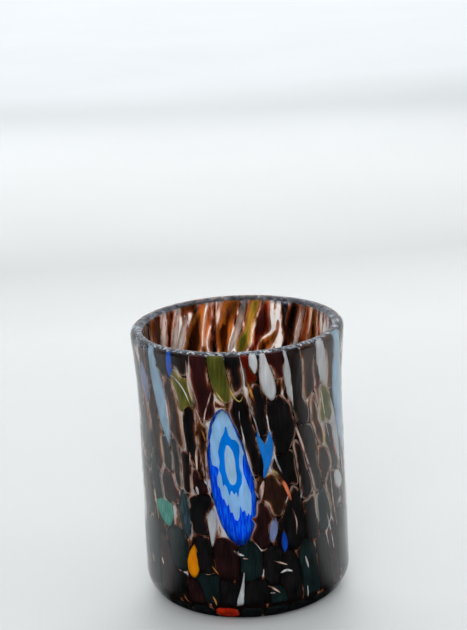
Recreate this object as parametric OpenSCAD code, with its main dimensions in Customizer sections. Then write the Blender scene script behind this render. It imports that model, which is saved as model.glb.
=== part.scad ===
// Hand-blown shot glass in the millefiori manner. A thick clear gather is rolled in chips of dark
// and bright glass round one stretched flower slice, and a thin clear casing closes over them.
// The axis is Z, the glass stands on z = 0, and the flower faces -Y.

/* [Glass] */
// Height over all
height = 64; // [58:0.5:74]
// Outer diameter at the rim
rim_d = 48.5; // [46:0.5:56]
// How far the waist is drawn in from the rim
waist_in = 0.8; // [0:0.1:2]
// How far the waist lies below the rim
waist_drop = 18; // [12:1:26]
// How far the wall above the heel lies in from the rim
low_in = 0.4; // [0:0.1:2]
// Radius of the rounded heel
heel_r = 6; // [5:0.25:8]
// Thickness of the wall
wall = 3; // [2.6:0.1:4]
// Thickness of the solid floor
floor_t = 13; // [8:0.5:18]
// Radius where the bowl's wall turns into its floor
bowl_r = 9; // [5:0.5:14]

/* [Lip] */
// Height of the clear fire-polished lip
lip_h = 2.4; // [1.8:0.1:4]
// Rounding of the lip's two edges
lip_r = 1.3; // [0.6:0.1:1.3]

/* [Layers] */
// Clear casing over the chips
casing_t = 0.6; // [0.4:0.05:0.8]
// Thickness of the chips
chip_t = 0.9; // [0.6:0.05:1.1]
// Clear glass under the base chips
foot_t = 1.5; // [1.2:0.1:2]
// Clear vein between neighbouring chips
vein = 0.45; // [0.3:0.05:0.6]

/* [Pontil mark] */
// Diameter of the ground hollow under the foot
pontil_d = 14; // [8:1:20]
// Depth of the ground hollow
pontil_depth = 0.8; // [0.4:0.1:1]

/* [Hidden] */

rim_r = rim_d / 2;
waist_r = rim_r - waist_in;
low_r = rim_r - low_in;
// Top of the coloured wall, where the clear lip begins
mouth_z = height - lip_h;
waist_z = height - waist_drop;
// Depths of the chip layer's inner face under the wall and under the foot
chip_back = casing_t + chip_t;
chip_floor = foot_t + chip_t;
// Steps of the wall's curve, of the heel's arc and of each edge of the lip
WALL_STEPS = 6;
HEEL_STEPS = 6;
LIP_STEPS = 5;
ROUND = 96;
// Where wall chips give way to heel chips, as an angle below the heel's centre
HEEL_TURN = 15;
// Lowest height that a wall chip reaches
wall_lo = heel_r - (heel_r - chip_back) * sin(HEEL_TURN);
// Size of one degree and of one hundredth of the coloured wall, on the chip layer
mm_deg = PI * (waist_r + low_r - 2 * chip_back) / 360;
mm_up = (mouth_z - wall_lo) / 100;

// Each chip chosen by hand: azimuth in degrees, height in hundredths of the coloured wall,
// half width in degrees, half length in hundredths, lean of its top in degrees, and its glass.
CHOSEN_CHIPS = [
    // the flower, and what lies between it and the mouth
    [-8.5, 54, 12, 27, 5, "flower"],
    [-20.5, 89, 6, 12, 9, "plum"],
    [-10.5, 93, 4.5, 9, 8, "olive"],
    [-2.5, 94, 5, 8, 10, "black"],
    [-12.5, 85, 3, 4, 30, "black"],
    [3.5, 94, 2, 6, 5, "red"],
    // right of the flower, from the mouth down
    [7.5, 98, 2.5, 4, 10, "white"],
    [15, 91, 3.8, 10, 14, "white"],
    [20, 98, 4, 5, 10, "plum"],
    [26.5, 92, 2.4, 10, 12, "white"],
    [33, 86, 4, 14, 10, "smoke"],
    [40.5, 92, 4, 10, 12, "brown"],
    [45.5, 87, 2, 8, 14, "plum"],
    [51, 93, 4, 9, 12, "white"],
    [57.5, 92, 2.5, 9, 12, "brown"],
    [70, 80, 7, 27, 8, "pale_blue"],
    [3.5, 71, 4, 17, 10, "black"],
    [9.5, 79, 3.5, 10, 11, "black"],
    [13, 62, 3.6, 9, 2, "azure"],
    [21.5, 72, 6.5, 15, 12, "black"],
    [15.5, 46, 6.5, 9, 20, "brown"],
    [26, 57, 5.5, 14, 12, "black"],
    [34, 50, 4.5, 16, 12, "black"],
    [41, 60, 4.5, 17, 12, "smoke"],
    [47.5, 70, 3, 10, 14, "brown"],
    [53, 76, 4.5, 9, 14, "olive"],
    [50, 52, 5, 10, 10, "brown"],
    [57, 60, 4, 12, 12, "smoke"],
    [64.5, 63, 3, 13, 12, "white"],
    [66, 42, 4.5, 5, 45, "white"],
    [7.5, 34, 5, 9, 5, "plum"],
    [14.5, 31, 2.5, 5, -10, "lilac"],
    [21, 25, 1.8, 4.5, 0, "cobalt"],
    [28, 33, 6, 11, 5, "black"],
    [39, 34, 6, 10, 5, "black"],
    [49, 33, 5, 9, 8, "bottle"],
    [58, 38, 5, 9, 5, "smoke"],
    [76, 40, 5, 12, 8, "plum"],
    // left of the flower, from the mouth down
    [-33, 98, 4, 4, 10, "smoke"],
    [-40, 97, 2.2, 5, 0, "cobalt"],
    [-45, 97, 3, 5, 5, "smoke"],
    [-49.5, 82, 4.8, 20, 9, "pale_blue"],
    [-64, 86, 4, 7, 8, "lilac"],
    [-75, 78, 5, 18, 8, "black"],
    [-32, 85, 5, 10, 10, "olive"],
    [-39.5, 77, 3.5, 14, 10, "brown"],
    [-28, 70, 4.5, 15, 10, "black"],
    [-22.5, 63, 2.7, 12, 8, "brown"],
    [-27, 50, 3, 6, 8, "plum"],
    [-25, 39, 5, 9, 5, "black"],
    [-34.5, 55, 4, 9, 10, "black"],
    [-40, 57, 4, 10, 8, "smoke"],
    [-48, 58, 4, 11, 8, "smoke"],
    [-56, 68, 5, 17, 8, "brown"],
    [-66, 65, 5, 14, 8, "smoke"],
    [-47, 46, 5, 6, 10, "plum"],
    [-58, 48, 5, 8, 8, "bottle"],
    [-72, 44, 6, 12, 8, "plum"],
    [-19, 33, 2.9, 9, 6, "white"],
    [-36, 37, 4.6, 11, 4, "slate"],
    [-51, 35, 8, 6, 0, "teal"],
    [-32, 17, 5, 7.5, -10, "orange"],
    // the low wall, from left to right
    [-76, 12, 6, 12, 8, "black"],
    [-64, 16, 6, 12, 8, "bottle"],
    [-53, 11, 6, 11, 8, "plum"],
    [-43, 21, 4, 8, 8, "bottle"],
    [-42, 4, 5, 7, 8, "black"],
    [-31, 3, 5, 5, 8, "plum"],
    [-24, 20, 4, 7, 8, "black"],
    [-22, 6, 6, 6, 8, "bottle"],
    [-12, 19, 6, 8, 8, "plum"],
    [-12, 4, 4, 6, 8, "black"],
    [-4.5, 6, 2.2, 8, 10, "white"],
    [2, 18, 6, 8, 8, "bottle"],
    [5, 3, 6, 7, 8, "black"],
    [13, 15, 5, 7, 8, "black"],
    [16, 3, 5, 5, 8, "bottle"],
    [25, 10, 6, 10, 8, "black"],
    [36, 12, 6, 11, 8, "bottle"],
    [47, 12, 6, 11, 8, "black"],
    [58, 13, 6, 12, 8, "plum"],
    [69, 14, 6, 14, 8, "smoke"],
    // round the back under the mouth, from right to left
    [108, 88, 3.5, 14, 12, "plum"],
    [115, 89, 3.5, 14, 12, "red"],
    [122, 87, 3.5, 14, 12, "black"],
    [128.5, 88, 3.2, 14, 12, "amber"],
    [134.5, 88, 2.8, 14, 12, "brown"],
    [139.7, 87, 2, 14, 12, "white"],
    [146, 88, 4, 14, 12, "black"],
    [153.5, 90, 3.2, 13, 12, "red"],
    [160, 86, 2.8, 13, 12, "amber"],
    [166, 88, 3.2, 14, 12, "plum"],
    [173, 88, 3.6, 13, 12, "olive"],
    [180, 91, 2.4, 12, 14, "white"],
    [187.5, 88, 4.5, 14, 12, "amber"],
    [195, 88, 3.2, 14, 12, "black"],
    [201.5, 87, 3, 14, 12, "brown"],
    [208.5, 85, 4, 13, 14, "amber"],
    [213, 99, 2.5, 4, 14, "brown"],
    [217.5, 90, 2.4, 11, 22, "white"],
    [223.5, 90, 2.4, 12, 14, "white"],
    [229, 89, 2.8, 13, 12, "black"],
    [235, 91, 3.2, 12, 12, "white"],
    [241.5, 89, 3.5, 14, 12, "plum"],
    [248.5, 89, 3.5, 14, 12, "brown"],
    [255, 89, 3.2, 14, 12, "black"],
];

// Rows that a rule fills where no chip is chosen:
// height, half length, number of chips, first and last azimuth
RULED_ROWS = [
    [87, 15, 3, 83, 105],
    [88, 14, 3, 258, 280],
    [60, 14, 22, 83, 280],
    [36, 12, 19, 83, 280],
    [11, 12, 17, 83, 278],
];
// The glasses that the rule deals out, dark ones most often
RULED_GLASS = [
    "black", "plum", "black", "brown", "bottle", "black", "pale_blue", "plum", "smoke",
    "black", "brown", "black", "white", "plum", "black", "olive", "bottle", "brown",
    "black", "smoke", "amber",
];
GLASS_STEPS = 8;
SEED = 12;
ROW_SEEDS = 40;
ROW_TURNS = 5;
// A ruled chip's size as a share of its place, and how far chance changes that share
FILL_RATIO = 0.97;
FILL_CHANCE = 0.17;
// How far chance moves a ruled chip: as a share of its place, and in hundredths of the height
PLACE_CHANCE = 0.2;
HEIGHT_CHANCE = 5;
// Lean of a ruled chip, and how far chance changes it, in degrees
LEAN_DEG = 11;
LEAN_CHANCE = 5;

// One ruled chip: its place in the row plus a little scatter from four chances between -1 and 1
function ruled_chip(row, i, chance, turn) =
    let(step = (row[4] - row[3]) / row[2])
    [
        row[3] + (i + 0.5 + PLACE_CHANCE * chance[0]) * step,
        row[0] + HEIGHT_CHANCE * chance[1],
        step / 2 * (FILL_RATIO + FILL_CHANCE * chance[2]),
        row[1] * (FILL_RATIO + FILL_CHANCE * chance[3]),
        LEAN_DEG + LEAN_CHANCE * chance[0],
        RULED_GLASS[(turn * GLASS_STEPS) % len(RULED_GLASS)],
    ];
RULED_CHIPS = [
    for (r = [0 : len(RULED_ROWS) - 1], i = [0 : RULED_ROWS[r][2] - 1])
        ruled_chip(RULED_ROWS[r], i, rands(-1, 1, 4, SEED + ROW_SEEDS * r + i), ROW_TURNS * r + i)
];
CHIPS = concat(CHOSEN_CHIPS, RULED_CHIPS);

// Sides of a chip's outline
SPOKES = 16;
HALF_SPOKE_DEG = 180 / SPOKES;
// How far a chip may grow past its own ellipse to meet its neighbours; a murrina keeps its ellipse
GROWTH_RATIO = 1.25;
MURRINE = ["flower", "orange", "teal", "slate"];
function reach(chip) = search([chip[5]], MURRINE) == [[]] ? GROWTH_RATIO : 1;
// Ellipses further apart than this many degrees or hundredths never meet
APART_DEG = 12;

// Degrees from azimuth b to azimuth a, the short way round
function turn_between(a, b) = (a - b + 540) % 360 - 180;

// A chip's half axes in millimetres, as a step along its own ellipse and back again
function from_ellipse(chip, p) =
    let(x = p[0] * chip[2] * mm_deg, y = p[1] * chip[3] * mm_up, c = cos(chip[4]), s = sin(chip[4]))
    [x * c - y * s, x * s + y * c];
function to_ellipse(chip, p) =
    let(c = cos(chip[4]), s = sin(chip[4]))
    [(p[0] * c + p[1] * s) / (chip[2] * mm_deg), (p[1] * c - p[0] * s) / (chip[3] * mm_up)];
// Outward direction across the chip's ellipse, where its own direction is m
function across(chip, m) =
    let(
        x = m[0] / (chip[2] * mm_deg), y = m[1] / (chip[3] * mm_up),
        c = cos(chip[4]), s = sin(chip[4]), n = [x * c - y * s, x * s + y * c]
    )
    n / norm(n);

// Share of a spoke at which two ellipses have grown the same amount: from is the way from the
// neighbour's centre, and along is the spoke, both in the neighbour's own ellipse
function meeting(from, along) =
    let(b = along * from, root = b * b + (1 - along * along) * (from * from))
    root < 0 || sqrt(root) <= b ? GROWTH_RATIO : (from * from) / (sqrt(root) - b);

function neighbours(chip) = [
    for (other = CHIPS)
        let(apart = abs(turn_between(chip[0], other[0])))
        if (other != chip && apart < chip[2] + other[2] + APART_DEG
            && abs(chip[1] - other[1]) < chip[3] + other[3] + APART_DEG) other
];

function spoke(chip, others, m) =
    let(
        d = from_ellipse(chip, m),
        met = [
            for (o = others)
                let(gap = [turn_between(chip[0], o[0]) * mm_deg, (chip[1] - o[1]) * mm_up])
                meeting(to_ellipse(o, gap), to_ellipse(o, d))
        ]
    )
    min(concat([reach(chip)], met));

// How much a side between two spokes would cut into a neighbour that its middle meets, as a sum
// of reciprocal shares; 0 or less where the side stays clear
function cut_in(before, middle, after) = 2 * cos(HALF_SPOKE_DEG) / middle - 1 / before - 1 / after;

// A chip's outline about its own azimuth: across in x, height in y. Spokes are met with half
// spokes between them, drawn in where a side would cut a neighbour, and eased into each other.
function chip_outline(chip) =
    let(
        others = neighbours(chip),
        dirs = [for (k = [0 : 2 * SPOKES - 1]) [cos(HALF_SPOKE_DEG * k), sin(HALF_SPOKE_DEG * k)]],
        met = [for (m = dirs) spoke(chip, others, m)],
        cuts = [for (k = [1 : 2 : len(met) - 1]) cut_in(met[k - 1], met[k], met[(k + 1) % len(met)])],
        clear = [
            for (k = [0 : SPOKES - 1])
                1 / (1 / met[2 * k] + max(0, cuts[(k + SPOKES - 1) % SPOKES], cuts[k]) / 2)
        ],
        eased = [
            for (k = [0 : SPOKES - 1])
                let(before = clear[(k + SPOKES - 1) % SPOKES], after = clear[(k + 1) % SPOKES])
                min(clear[k], (before + 2 * clear[k] + after) / 4)
        ]
    )
    [
        for (k = [0 : SPOKES - 1])
            let(p = from_ellipse(chip, dirs[2 * k] * eased[k]) - across(chip, dirs[2 * k]) * vein / 2)
            [p[0], max(wall_lo + chip[1] * mm_up + p[1], wall_lo + vein / 2)]
    ];

function reversed(points) = [for (i = [len(points) - 1 : -1 : 0]) points[i]];

// Outer radius of the wall: full at the rim and the heel, drawn in at the waist
function outer_r(z) = z < waist_z
    ? low_r + (waist_r - low_r) * (1 - cos(180 * (z - heel_r) / (waist_z - heel_r))) / 2
    : waist_r + (rim_r - waist_r) * pow((z - waist_z) / (mouth_z - waist_z), 2);

// Half section of a surface that lies under the outside, from the mouth to the axis
function skin(under_wall, under_foot) = concat(
    [
        for (i = [WALL_STEPS : -1 : 1])
            let(z = heel_r + (mouth_z - heel_r) * i / WALL_STEPS)
            [outer_r(z) - under_wall, z]
    ],
    [
        for (i = [HEEL_STEPS : -1 : 0])
            let(a = 90 * i / HEEL_STEPS)
            [
                low_r - heel_r + (heel_r - under_wall) * sin(a),
                heel_r - (heel_r - under_foot) * cos(a),
            ]
    ],
    [[0, under_foot]]
);

module layer(outer, inner) {
    rotate_extrude($fn = ROUND) polygon(concat(skin(outer[0], outer[1]), reversed(skin(inner[0], inner[1]))));
}

module chip_layer() {
    layer([casing_t, foot_t], [chip_back, chip_floor]);
}

// Straight cutter for a wall outline, square to the wall at that azimuth
module wall_cutter(azimuth, outline) {
    rotate([90, 0, azimuth])
        translate([0, 0, waist_r - 2 * wall])
            linear_extrude(4 * wall)
                polygon(outline);
}

module chip_cutters(glass) {
    for (chip = CHIPS)
        if (chip[5] == glass || glass == "any") wall_cutter(chip[0], chip_outline(chip));
}

module chips(glass) {
    intersection() {
        chip_layer();
        chip_cutters(glass);
    }
}

// Squarish oval with half sides 1, for chips that a rule packs side by side
OVAL_SIDES = 12;
ROUNDNESS_RATIO = 0.6;
function squared(x) = sign(x) * pow(abs(x), ROUNDNESS_RATIO);
OVAL = [
    for (k = [0 : OVAL_SIDES - 1])
        let(a = 360 * (k + 0.5) / OVAL_SIDES)
        [squared(cos(a)), squared(sin(a))]
];

// One row of chips goes round the heel, half way through its turn
HEEL_COUNT = 24;
HEEL_START = -14;
HEEL_DEG = 45;
heel_back = heel_r - max(chip_back, chip_floor);
heel_half = heel_back * sin(HEEL_DEG - HEEL_TURN) - vein / 2;
function heel_outline() =
    let(r = low_r - heel_r + (heel_r - chip_back) * sin(HEEL_DEG))
    [for (p = OVAL) [
        p[0] * ((r - p[1] * heel_half * sin(HEEL_DEG)) * PI / HEEL_COUNT - vein / 2),
        p[1] * heel_half,
    ]];

module heel_cutter(i) {
    rotate([0, 0, HEEL_START + 360 * i / HEEL_COUNT])
        translate([0, heel_r - low_r, heel_r])
            rotate([90 + HEEL_DEG, 0, 0])
                linear_extrude(2 * heel_r)
                    polygon(heel_outline());
}

// Two rings of chips and one in the middle lie under the floor
OUTER_COUNT = 13;
INNER_COUNT = 7;
MID_RATIO = 0.5;
IN_RATIO = 0.14;
base_out = low_r - heel_r + heel_back * sin(HEEL_TURN) - vein / 2;
base_mid = MID_RATIO * base_out;
base_in = IN_RATIO * base_out;
BASE_RINGS = [
    [base_mid + vein / 2, base_out, OUTER_COUNT],
    [base_in + vein / 2, base_mid - vein / 2, INNER_COUNT],
];

function base_outline(ring) =
    let(r = (ring[0] + ring[1]) / 2, half = (ring[1] - ring[0]) / 2)
    [for (p = OVAL) [
        p[0] * ((r + p[1] * half) * PI / ring[2] - vein / 2),
        r + p[1] * half,
    ]];

module base_cutters() {
    for (ring = BASE_RINGS, i = [0 : ring[2] - 1])
        rotate([0, 0, 360 * i / ring[2]])
            linear_extrude(heel_r) polygon(base_outline(ring));
    cylinder(r = base_in - vein / 2, h = heel_r, $fn = ROUND);
}

// The flower's inner figures: azimuth and height of its middle, half width and half length,
// number of petals and how deep they are cut
FLOWER = CHOSEN_CHIPS[0];
FLOWER_CORE = [-8.3, 59, 3.7, 10.5, 0, 0];
FLOWER_RING = [-8.5, 59.5, 5.6, 13.5, 8, 0.09];
FLOWER_PETALS = [-9, 57, 9, 20, 9, 0.06];
FLOWER_SIDES = 54;

function flower_outline(figure) = [
    for (k = [0 : FLOWER_SIDES - 1])
        let(
            a = 360 * k / FLOWER_SIDES,
            swell = 1 + figure[5] * cos(figure[4] * a),
            p = from_ellipse([0, 0, figure[2], figure[3], FLOWER[4]], [cos(a) * swell, sin(a) * swell])
        )
        [
            p[0] + (figure[0] - FLOWER[0]) * mm_deg,
            p[1] + wall_lo + figure[1] * mm_up,
        ]
];

module flower_figure(figure) {
    wall_cutter(FLOWER[0], flower_outline(figure));
}

// Quarter round of the lip about a centre, from angle a to angle b
function lip_round(r, from, to) = [
    for (i = [0 : LIP_STEPS])
        let(a = from + (to - from) * i / LIP_STEPS)
        [r + lip_r * cos(a), height - lip_r + lip_r * sin(a)]
];

// The bowl, from its floor's middle up to the mouth
bowl_z = floor_t + bowl_r;
bowl_in = outer_r(bowl_z) - wall;
BOWL = concat(
    [
        for (i = [0 : HEEL_STEPS])
            let(a = 90 * i / HEEL_STEPS)
            [bowl_in - bowl_r + bowl_r * sin(a), bowl_z - bowl_r * cos(a)]
    ],
    [
        for (i = [1 : WALL_STEPS])
            let(z = bowl_z + (mouth_z - bowl_z) * i / WALL_STEPS)
            [outer_r(z) - wall, z]
    ]
);

// Clear glass that was gathered first: the bowl, the thick floor and the whole lip
module inner_gather() {
    color("gainsboro", 0.35)
        rotate_extrude($fn = ROUND)
            polygon(concat(
                lip_round(rim_r - wall + lip_r, 180, 90),
                lip_round(rim_r - lip_r, 90, 0),
                [[rim_r, mouth_z]],
                skin(chip_back, chip_floor),
                BOWL
            ));
}

// Clear glass gathered over the chips, with the ground hollow left by the pontil rod
module outer_casing() {
    dish_r = (pontil_d * pontil_d / 4 + pontil_depth * pontil_depth) / (2 * pontil_depth);
    color("gainsboro", 0.35)
        difference() {
            layer([0, 0], [casing_t, foot_t]);
            translate([0, 0, pontil_depth - dish_r]) sphere(r = dish_r, $fn = ROUND);
        }
}

// Clear glass that has run in between the chips and joins gather and casing
module vein_glass() {
    color("mistyrose", 0.5)
        difference() {
            chip_layer();
            chip_cutters("any");
            for (i = [0 : HEEL_COUNT - 1]) heel_cutter(i);
            base_cutters();
        }
}

module black_chips() { color("#16161a") chips("black"); }
module plum_chips() { color("#3a1a30") chips("plum"); }
module brown_chips() { color("#5e3018") chips("brown"); }
module smoke_chips() { color("#55555f") chips("smoke"); }
module bottle_chips() { color("#133c36") chips("bottle"); }
module white_chips() { color("#eef0f2") chips("white"); }
module pale_blue_chips() { color("#a5cbe8") chips("pale_blue"); }
module azure_chip() { color("#1e8cf0") chips("azure"); }
module cobalt_chips() { color("#143cc8") chips("cobalt"); }
module olive_chips() { color("#96963a") chips("olive"); }
module amber_chips() { color("#c8963a") chips("amber"); }
module lilac_chips() { color("#8c96c8") chips("lilac"); }
module orange_murrina() { color("#ff960a") chips("orange"); }
module teal_murrina() { color("#3ca096") chips("teal"); }
module slate_murrina() { color("#324b5f") chips("slate"); }

// Red chips of the wall, and the scarlet one that was caught in the heel
module red_chips() {
    color("#d23c28") {
        chips("red");
        intersection() {
            chip_layer();
            heel_cutter(0);
        }
    }
}

module heel_chips() {
    color("#1c1c22")
        intersection() {
            chip_layer();
            for (i = [1 : HEEL_COUNT - 1]) heel_cutter(i);
        }
}

module base_chips() {
    color("#16242a")
        intersection() {
            chip_layer();
            base_cutters();
        }
}

// The flower slice: four glasses fused one round the other, each through the chip's thickness
module flower_core() {
    color("#b4cfe6")
        intersection() {
            chip_layer();
            flower_figure(FLOWER_CORE);
        }
}

module flower_ring() {
    color("#1478d2")
        intersection() {
            chip_layer();
            difference() {
                flower_figure(FLOWER_RING);
                flower_figure(FLOWER_CORE);
            }
        }
}

module flower_petals() {
    color("#8cbeec")
        intersection() {
            chip_layer();
            difference() {
                flower_figure(FLOWER_PETALS);
                flower_figure(FLOWER_RING);
            }
        }
}

module flower_shell() {
    color("#1432e6")
        intersection() {
            chip_layer();
            difference() {
                chip_cutters("flower");
                flower_figure(FLOWER_PETALS);
            }
        }
}

inner_gather();
outer_casing();
vein_glass();
black_chips();
plum_chips();
brown_chips();
smoke_chips();
bottle_chips();
heel_chips();
base_chips();
flower_core();
flower_ring();
flower_petals();
flower_shell();
orange_murrina();
teal_murrina();
slate_murrina();
white_chips();
pale_blue_chips();
azure_chip();
cobalt_chips();
olive_chips();
amber_chips();
red_chips();
lilac_chips();
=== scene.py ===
"""A hand-blown shot glass: clear body, chips of dark and bright glass, and one flower slice.

Laid out as an add-on. The clear body is spun from a half section, and every chip is a softened
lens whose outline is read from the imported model, so the layout is kept in one place.
"""

import math

import bpy
import numpy as np
from mathutils import Matrix, Vector, noise


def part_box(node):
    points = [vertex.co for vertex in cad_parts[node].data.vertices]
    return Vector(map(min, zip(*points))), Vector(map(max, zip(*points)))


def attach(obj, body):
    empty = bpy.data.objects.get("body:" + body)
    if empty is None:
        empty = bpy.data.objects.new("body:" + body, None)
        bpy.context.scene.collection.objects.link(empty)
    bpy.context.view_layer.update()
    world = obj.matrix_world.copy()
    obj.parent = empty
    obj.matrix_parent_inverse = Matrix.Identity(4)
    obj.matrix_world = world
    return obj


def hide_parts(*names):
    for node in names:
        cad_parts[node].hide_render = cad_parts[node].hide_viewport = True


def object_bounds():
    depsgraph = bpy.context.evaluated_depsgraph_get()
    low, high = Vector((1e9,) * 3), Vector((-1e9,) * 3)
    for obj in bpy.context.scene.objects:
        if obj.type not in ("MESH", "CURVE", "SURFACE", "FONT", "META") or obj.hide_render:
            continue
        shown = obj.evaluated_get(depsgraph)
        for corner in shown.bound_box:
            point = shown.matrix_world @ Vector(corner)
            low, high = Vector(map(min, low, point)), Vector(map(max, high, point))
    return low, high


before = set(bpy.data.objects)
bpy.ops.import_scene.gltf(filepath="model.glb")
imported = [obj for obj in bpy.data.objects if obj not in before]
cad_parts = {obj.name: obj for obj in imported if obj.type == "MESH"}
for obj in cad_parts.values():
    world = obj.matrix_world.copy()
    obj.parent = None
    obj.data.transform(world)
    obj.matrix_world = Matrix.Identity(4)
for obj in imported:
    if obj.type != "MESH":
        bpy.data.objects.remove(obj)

bl_info = {
    "name": "Millefiori shot glass",
    "version": (1, 0, 0),
    "blender": (4, 5, 0),
    "location": "3D View > Sidebar > Shot glass",
    "description": "Builds a hand-blown shot glass and the stage it stands on",
    "category": "Add Mesh",
}

MM = 0.001
CAD_LOW, CAD_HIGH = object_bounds()

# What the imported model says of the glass
HEIGHT = CAD_HIGH[2]
RIM_R = CAD_HIGH[0]
MOUTH_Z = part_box("outer_casing")[1].z
FOOT_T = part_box("base_chips")[0].z
CHIP_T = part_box("base_chips")[1].z - FOOT_T
CASING_T = RIM_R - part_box("vein_glass")[1].x
CLEAR_NODES = ("inner_gather", "outer_casing")


# ---------------------------------------------------------------- the glass's own surfaces

def rings_of(node):
    """Radius and height of every ring of points of a turned node."""
    points = np.array([v.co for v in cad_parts[node].data.vertices], float)
    pairs = np.stack([np.hypot(points[:, 0], points[:, 1]), points[:, 2]], 1)
    return np.unique(np.round(pairs, 6), axis=0)


def heel_and_wall():
    """The heel's radius, and the rings of the outer wall from the heel up to the mouth."""
    rings = rings_of("outer_casing")
    foot_edge = rings[rings[:, 1] < 0.1 * MM, 0].max()
    low_wall = rings[rings[:, 1] < 0.2 * HEIGHT, 0].max()
    heel = low_wall - foot_edge
    heights = sorted({z for z in rings[:, 1] if z > heel - 0.1 * MM})
    return heel, [(rings[rings[:, 1] == z, 0].max(), z) for z in heights]


HEEL_R, WALL_RINGS = heel_and_wall()
HEEL_MID = WALL_RINGS[0][0] - HEEL_R


def smooth_line(points, steps):
    """A rounded line through the points, by the centripetal Catmull-Rom rule."""
    p = np.array(points, float)
    p = np.vstack([2 * p[0] - p[1], p, 2 * p[-1] - p[-2]])
    line = []
    for i in range(1, len(p) - 2):
        a, b, c, d = p[i - 1 : i + 3]
        t1 = np.linalg.norm(b - a) ** 0.5
        t2 = t1 + max(np.linalg.norm(c - b) ** 0.5, 1e-9)
        t3 = t2 + np.linalg.norm(d - c) ** 0.5
        for t in np.linspace(t1, t2, steps, endpoint=False):
            ab = a + (b - a) * t / t1
            bc = b + (c - b) * (t - t1) / (t2 - t1)
            cd = c + (d - c) * (t - t2) / (t3 - t2)
            abc = ab + (bc - ab) * t / t2
            bcd = bc + (cd - bc) * (t - t1) / (t3 - t1)
            line.append(abc + (bcd - abc) * (t - t1) / (t2 - t1))
    line.append(p[-2])
    return np.array(line)


WALL_LINE = smooth_line(WALL_RINGS, 8)


def outer_r(z):
    """Outer radius of the wall at a height above the heel."""
    return np.interp(z, WALL_LINE[:, 1], WALL_LINE[:, 0])


def layer_point(azimuth, height, depth):
    """A place in the wall's chip layer, at a depth under the layer's outer face."""
    sole = HEEL_R - FOOT_T - depth
    down = np.clip((HEEL_R - height) / sole, 0, 1)
    bent = HEEL_MID + (HEEL_R - CASING_T - depth) * np.sqrt(1 - down * down)
    r = np.where(height < HEEL_R, bent, outer_r(np.maximum(height, HEEL_R)) - CASING_T - depth)
    return np.stack([r * np.sin(azimuth), -r * np.cos(azimuth), height], -1)


def heel_point(azimuth, angle, depth):
    """A place in the heel's chip layer; the angle is 0 under the foot, a quarter turn at the wall."""
    r = HEEL_MID + (HEEL_R - CASING_T - depth) * np.sin(angle)
    z = HEEL_R - (HEEL_R - FOOT_T - depth) * np.cos(angle)
    return np.stack([r * np.sin(azimuth), -r * np.cos(azimuth), z], -1)


# ---------------------------------------------------------------- outlines of the chips

WALL, HEEL, BASE = "wall", "heel", "base"
# Radius at which the wall is unrolled into the plane
WALL_REF = 22 * MM
# Distance between the points of an outline, in millimetres
OUTLINE_STEP = 0.3
# How chips at the mouth are drawn up: how softly they stop, how far they go, and from how far down
LIP_EASE = 0.3 * MM
LIP_PULL = 1.85 * MM
LIP_PULL_FROM = 7 * MM


def outward(points):
    """Direction out of the glass at points of the chip layer."""
    r = np.hypot(points[:, 0], points[:, 1])
    side = points[:, :2] / np.maximum(r, 1e-9)[:, None]
    on_wall = points[:, 2] >= HEEL_R
    across = np.where(on_wall, 1.0, np.clip(r - HEEL_MID, 0, None))
    down = np.where(on_wall, 0.0, HEEL_R - points[:, 2])
    n = np.stack([side[:, 0] * across, side[:, 1] * across, -down], -1)
    return n / np.maximum(np.linalg.norm(n, axis=1), 1e-9)[:, None]


def node_loops(node):
    """Closed outlines of a chip node's solids, read from their inner faces."""
    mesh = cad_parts[node].data
    mesh.calc_loop_triangles()
    points = np.array([v.co for v in mesh.vertices], float)
    _, first, back = np.unique(
        np.round(points / (0.002 * MM)), axis=0, return_index=True, return_inverse=True
    )
    merged = points[first]
    triangles = back.ravel()[np.array([t.vertices[:] for t in mesh.loop_triangles])]
    corners = merged[triangles]
    normals = np.cross(corners[:, 1] - corners[:, 0], corners[:, 2] - corners[:, 0])
    normals /= np.maximum(np.linalg.norm(normals, axis=1), 1e-18)[:, None]
    inner = (normals * outward(corners.mean(1))).sum(1) < -0.6
    edges = set()
    for a, b, c in triangles[inner].tolist():
        edges |= {(a, b), (b, c), (c, a)}
    border = {a: b for a, b in edges if (b, a) not in edges and a != b}
    loops = []
    while border:
        start, here = border.popitem()
        loop = [start]
        while here != start and here in border:
            loop.append(here)
            here = border.pop(here)
        if here == start and len(loop) > 7:
            loops.append(merged[loop])
    return sorted(loops, key=lambda loop: (round(loop[:, 2].mean(), 5), round(loop[:, 0].mean(), 5)))


def region_of(loop):
    """Which stretch of the chip layer a loop lies in."""
    if loop[:, 2].max() > HEEL_R:
        return WALL
    return HEEL if np.hypot(loop[:, 0], loop[:, 1]).max() > HEEL_MID + 0.4 * HEEL_R else BASE


def flatten(loop):
    """A loop unrolled into the plane, in millimetres, with what is needed to roll it back."""
    region = region_of(loop)
    if region == BASE:
        centre = loop[:, :2].mean(0)
        return region, centre, (loop[:, :2] - centre) / MM
    azimuth = np.arctan2(loop[:, 0], -loop[:, 1])
    middle = math.atan2(np.sin(azimuth).mean(), np.cos(azimuth).mean())
    turn = (azimuth - middle + math.pi) % (2 * math.pi) - math.pi
    if region == WALL:
        up = loop[:, 2]
    else:
        sole = HEEL_R - FOOT_T - CHIP_T
        tread = HEEL_R - CASING_T - CHIP_T
        r = np.hypot(loop[:, 0], loop[:, 1])
        up = np.arctan2((r - HEEL_MID) / tread, (HEEL_R - loop[:, 2]) / sole) * HEEL_R
    mid_up = (up.max() + up.min()) / 2
    flat = np.stack([turn * WALL_REF, up - mid_up], -1) / MM
    return region, (middle, mid_up), flat


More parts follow.
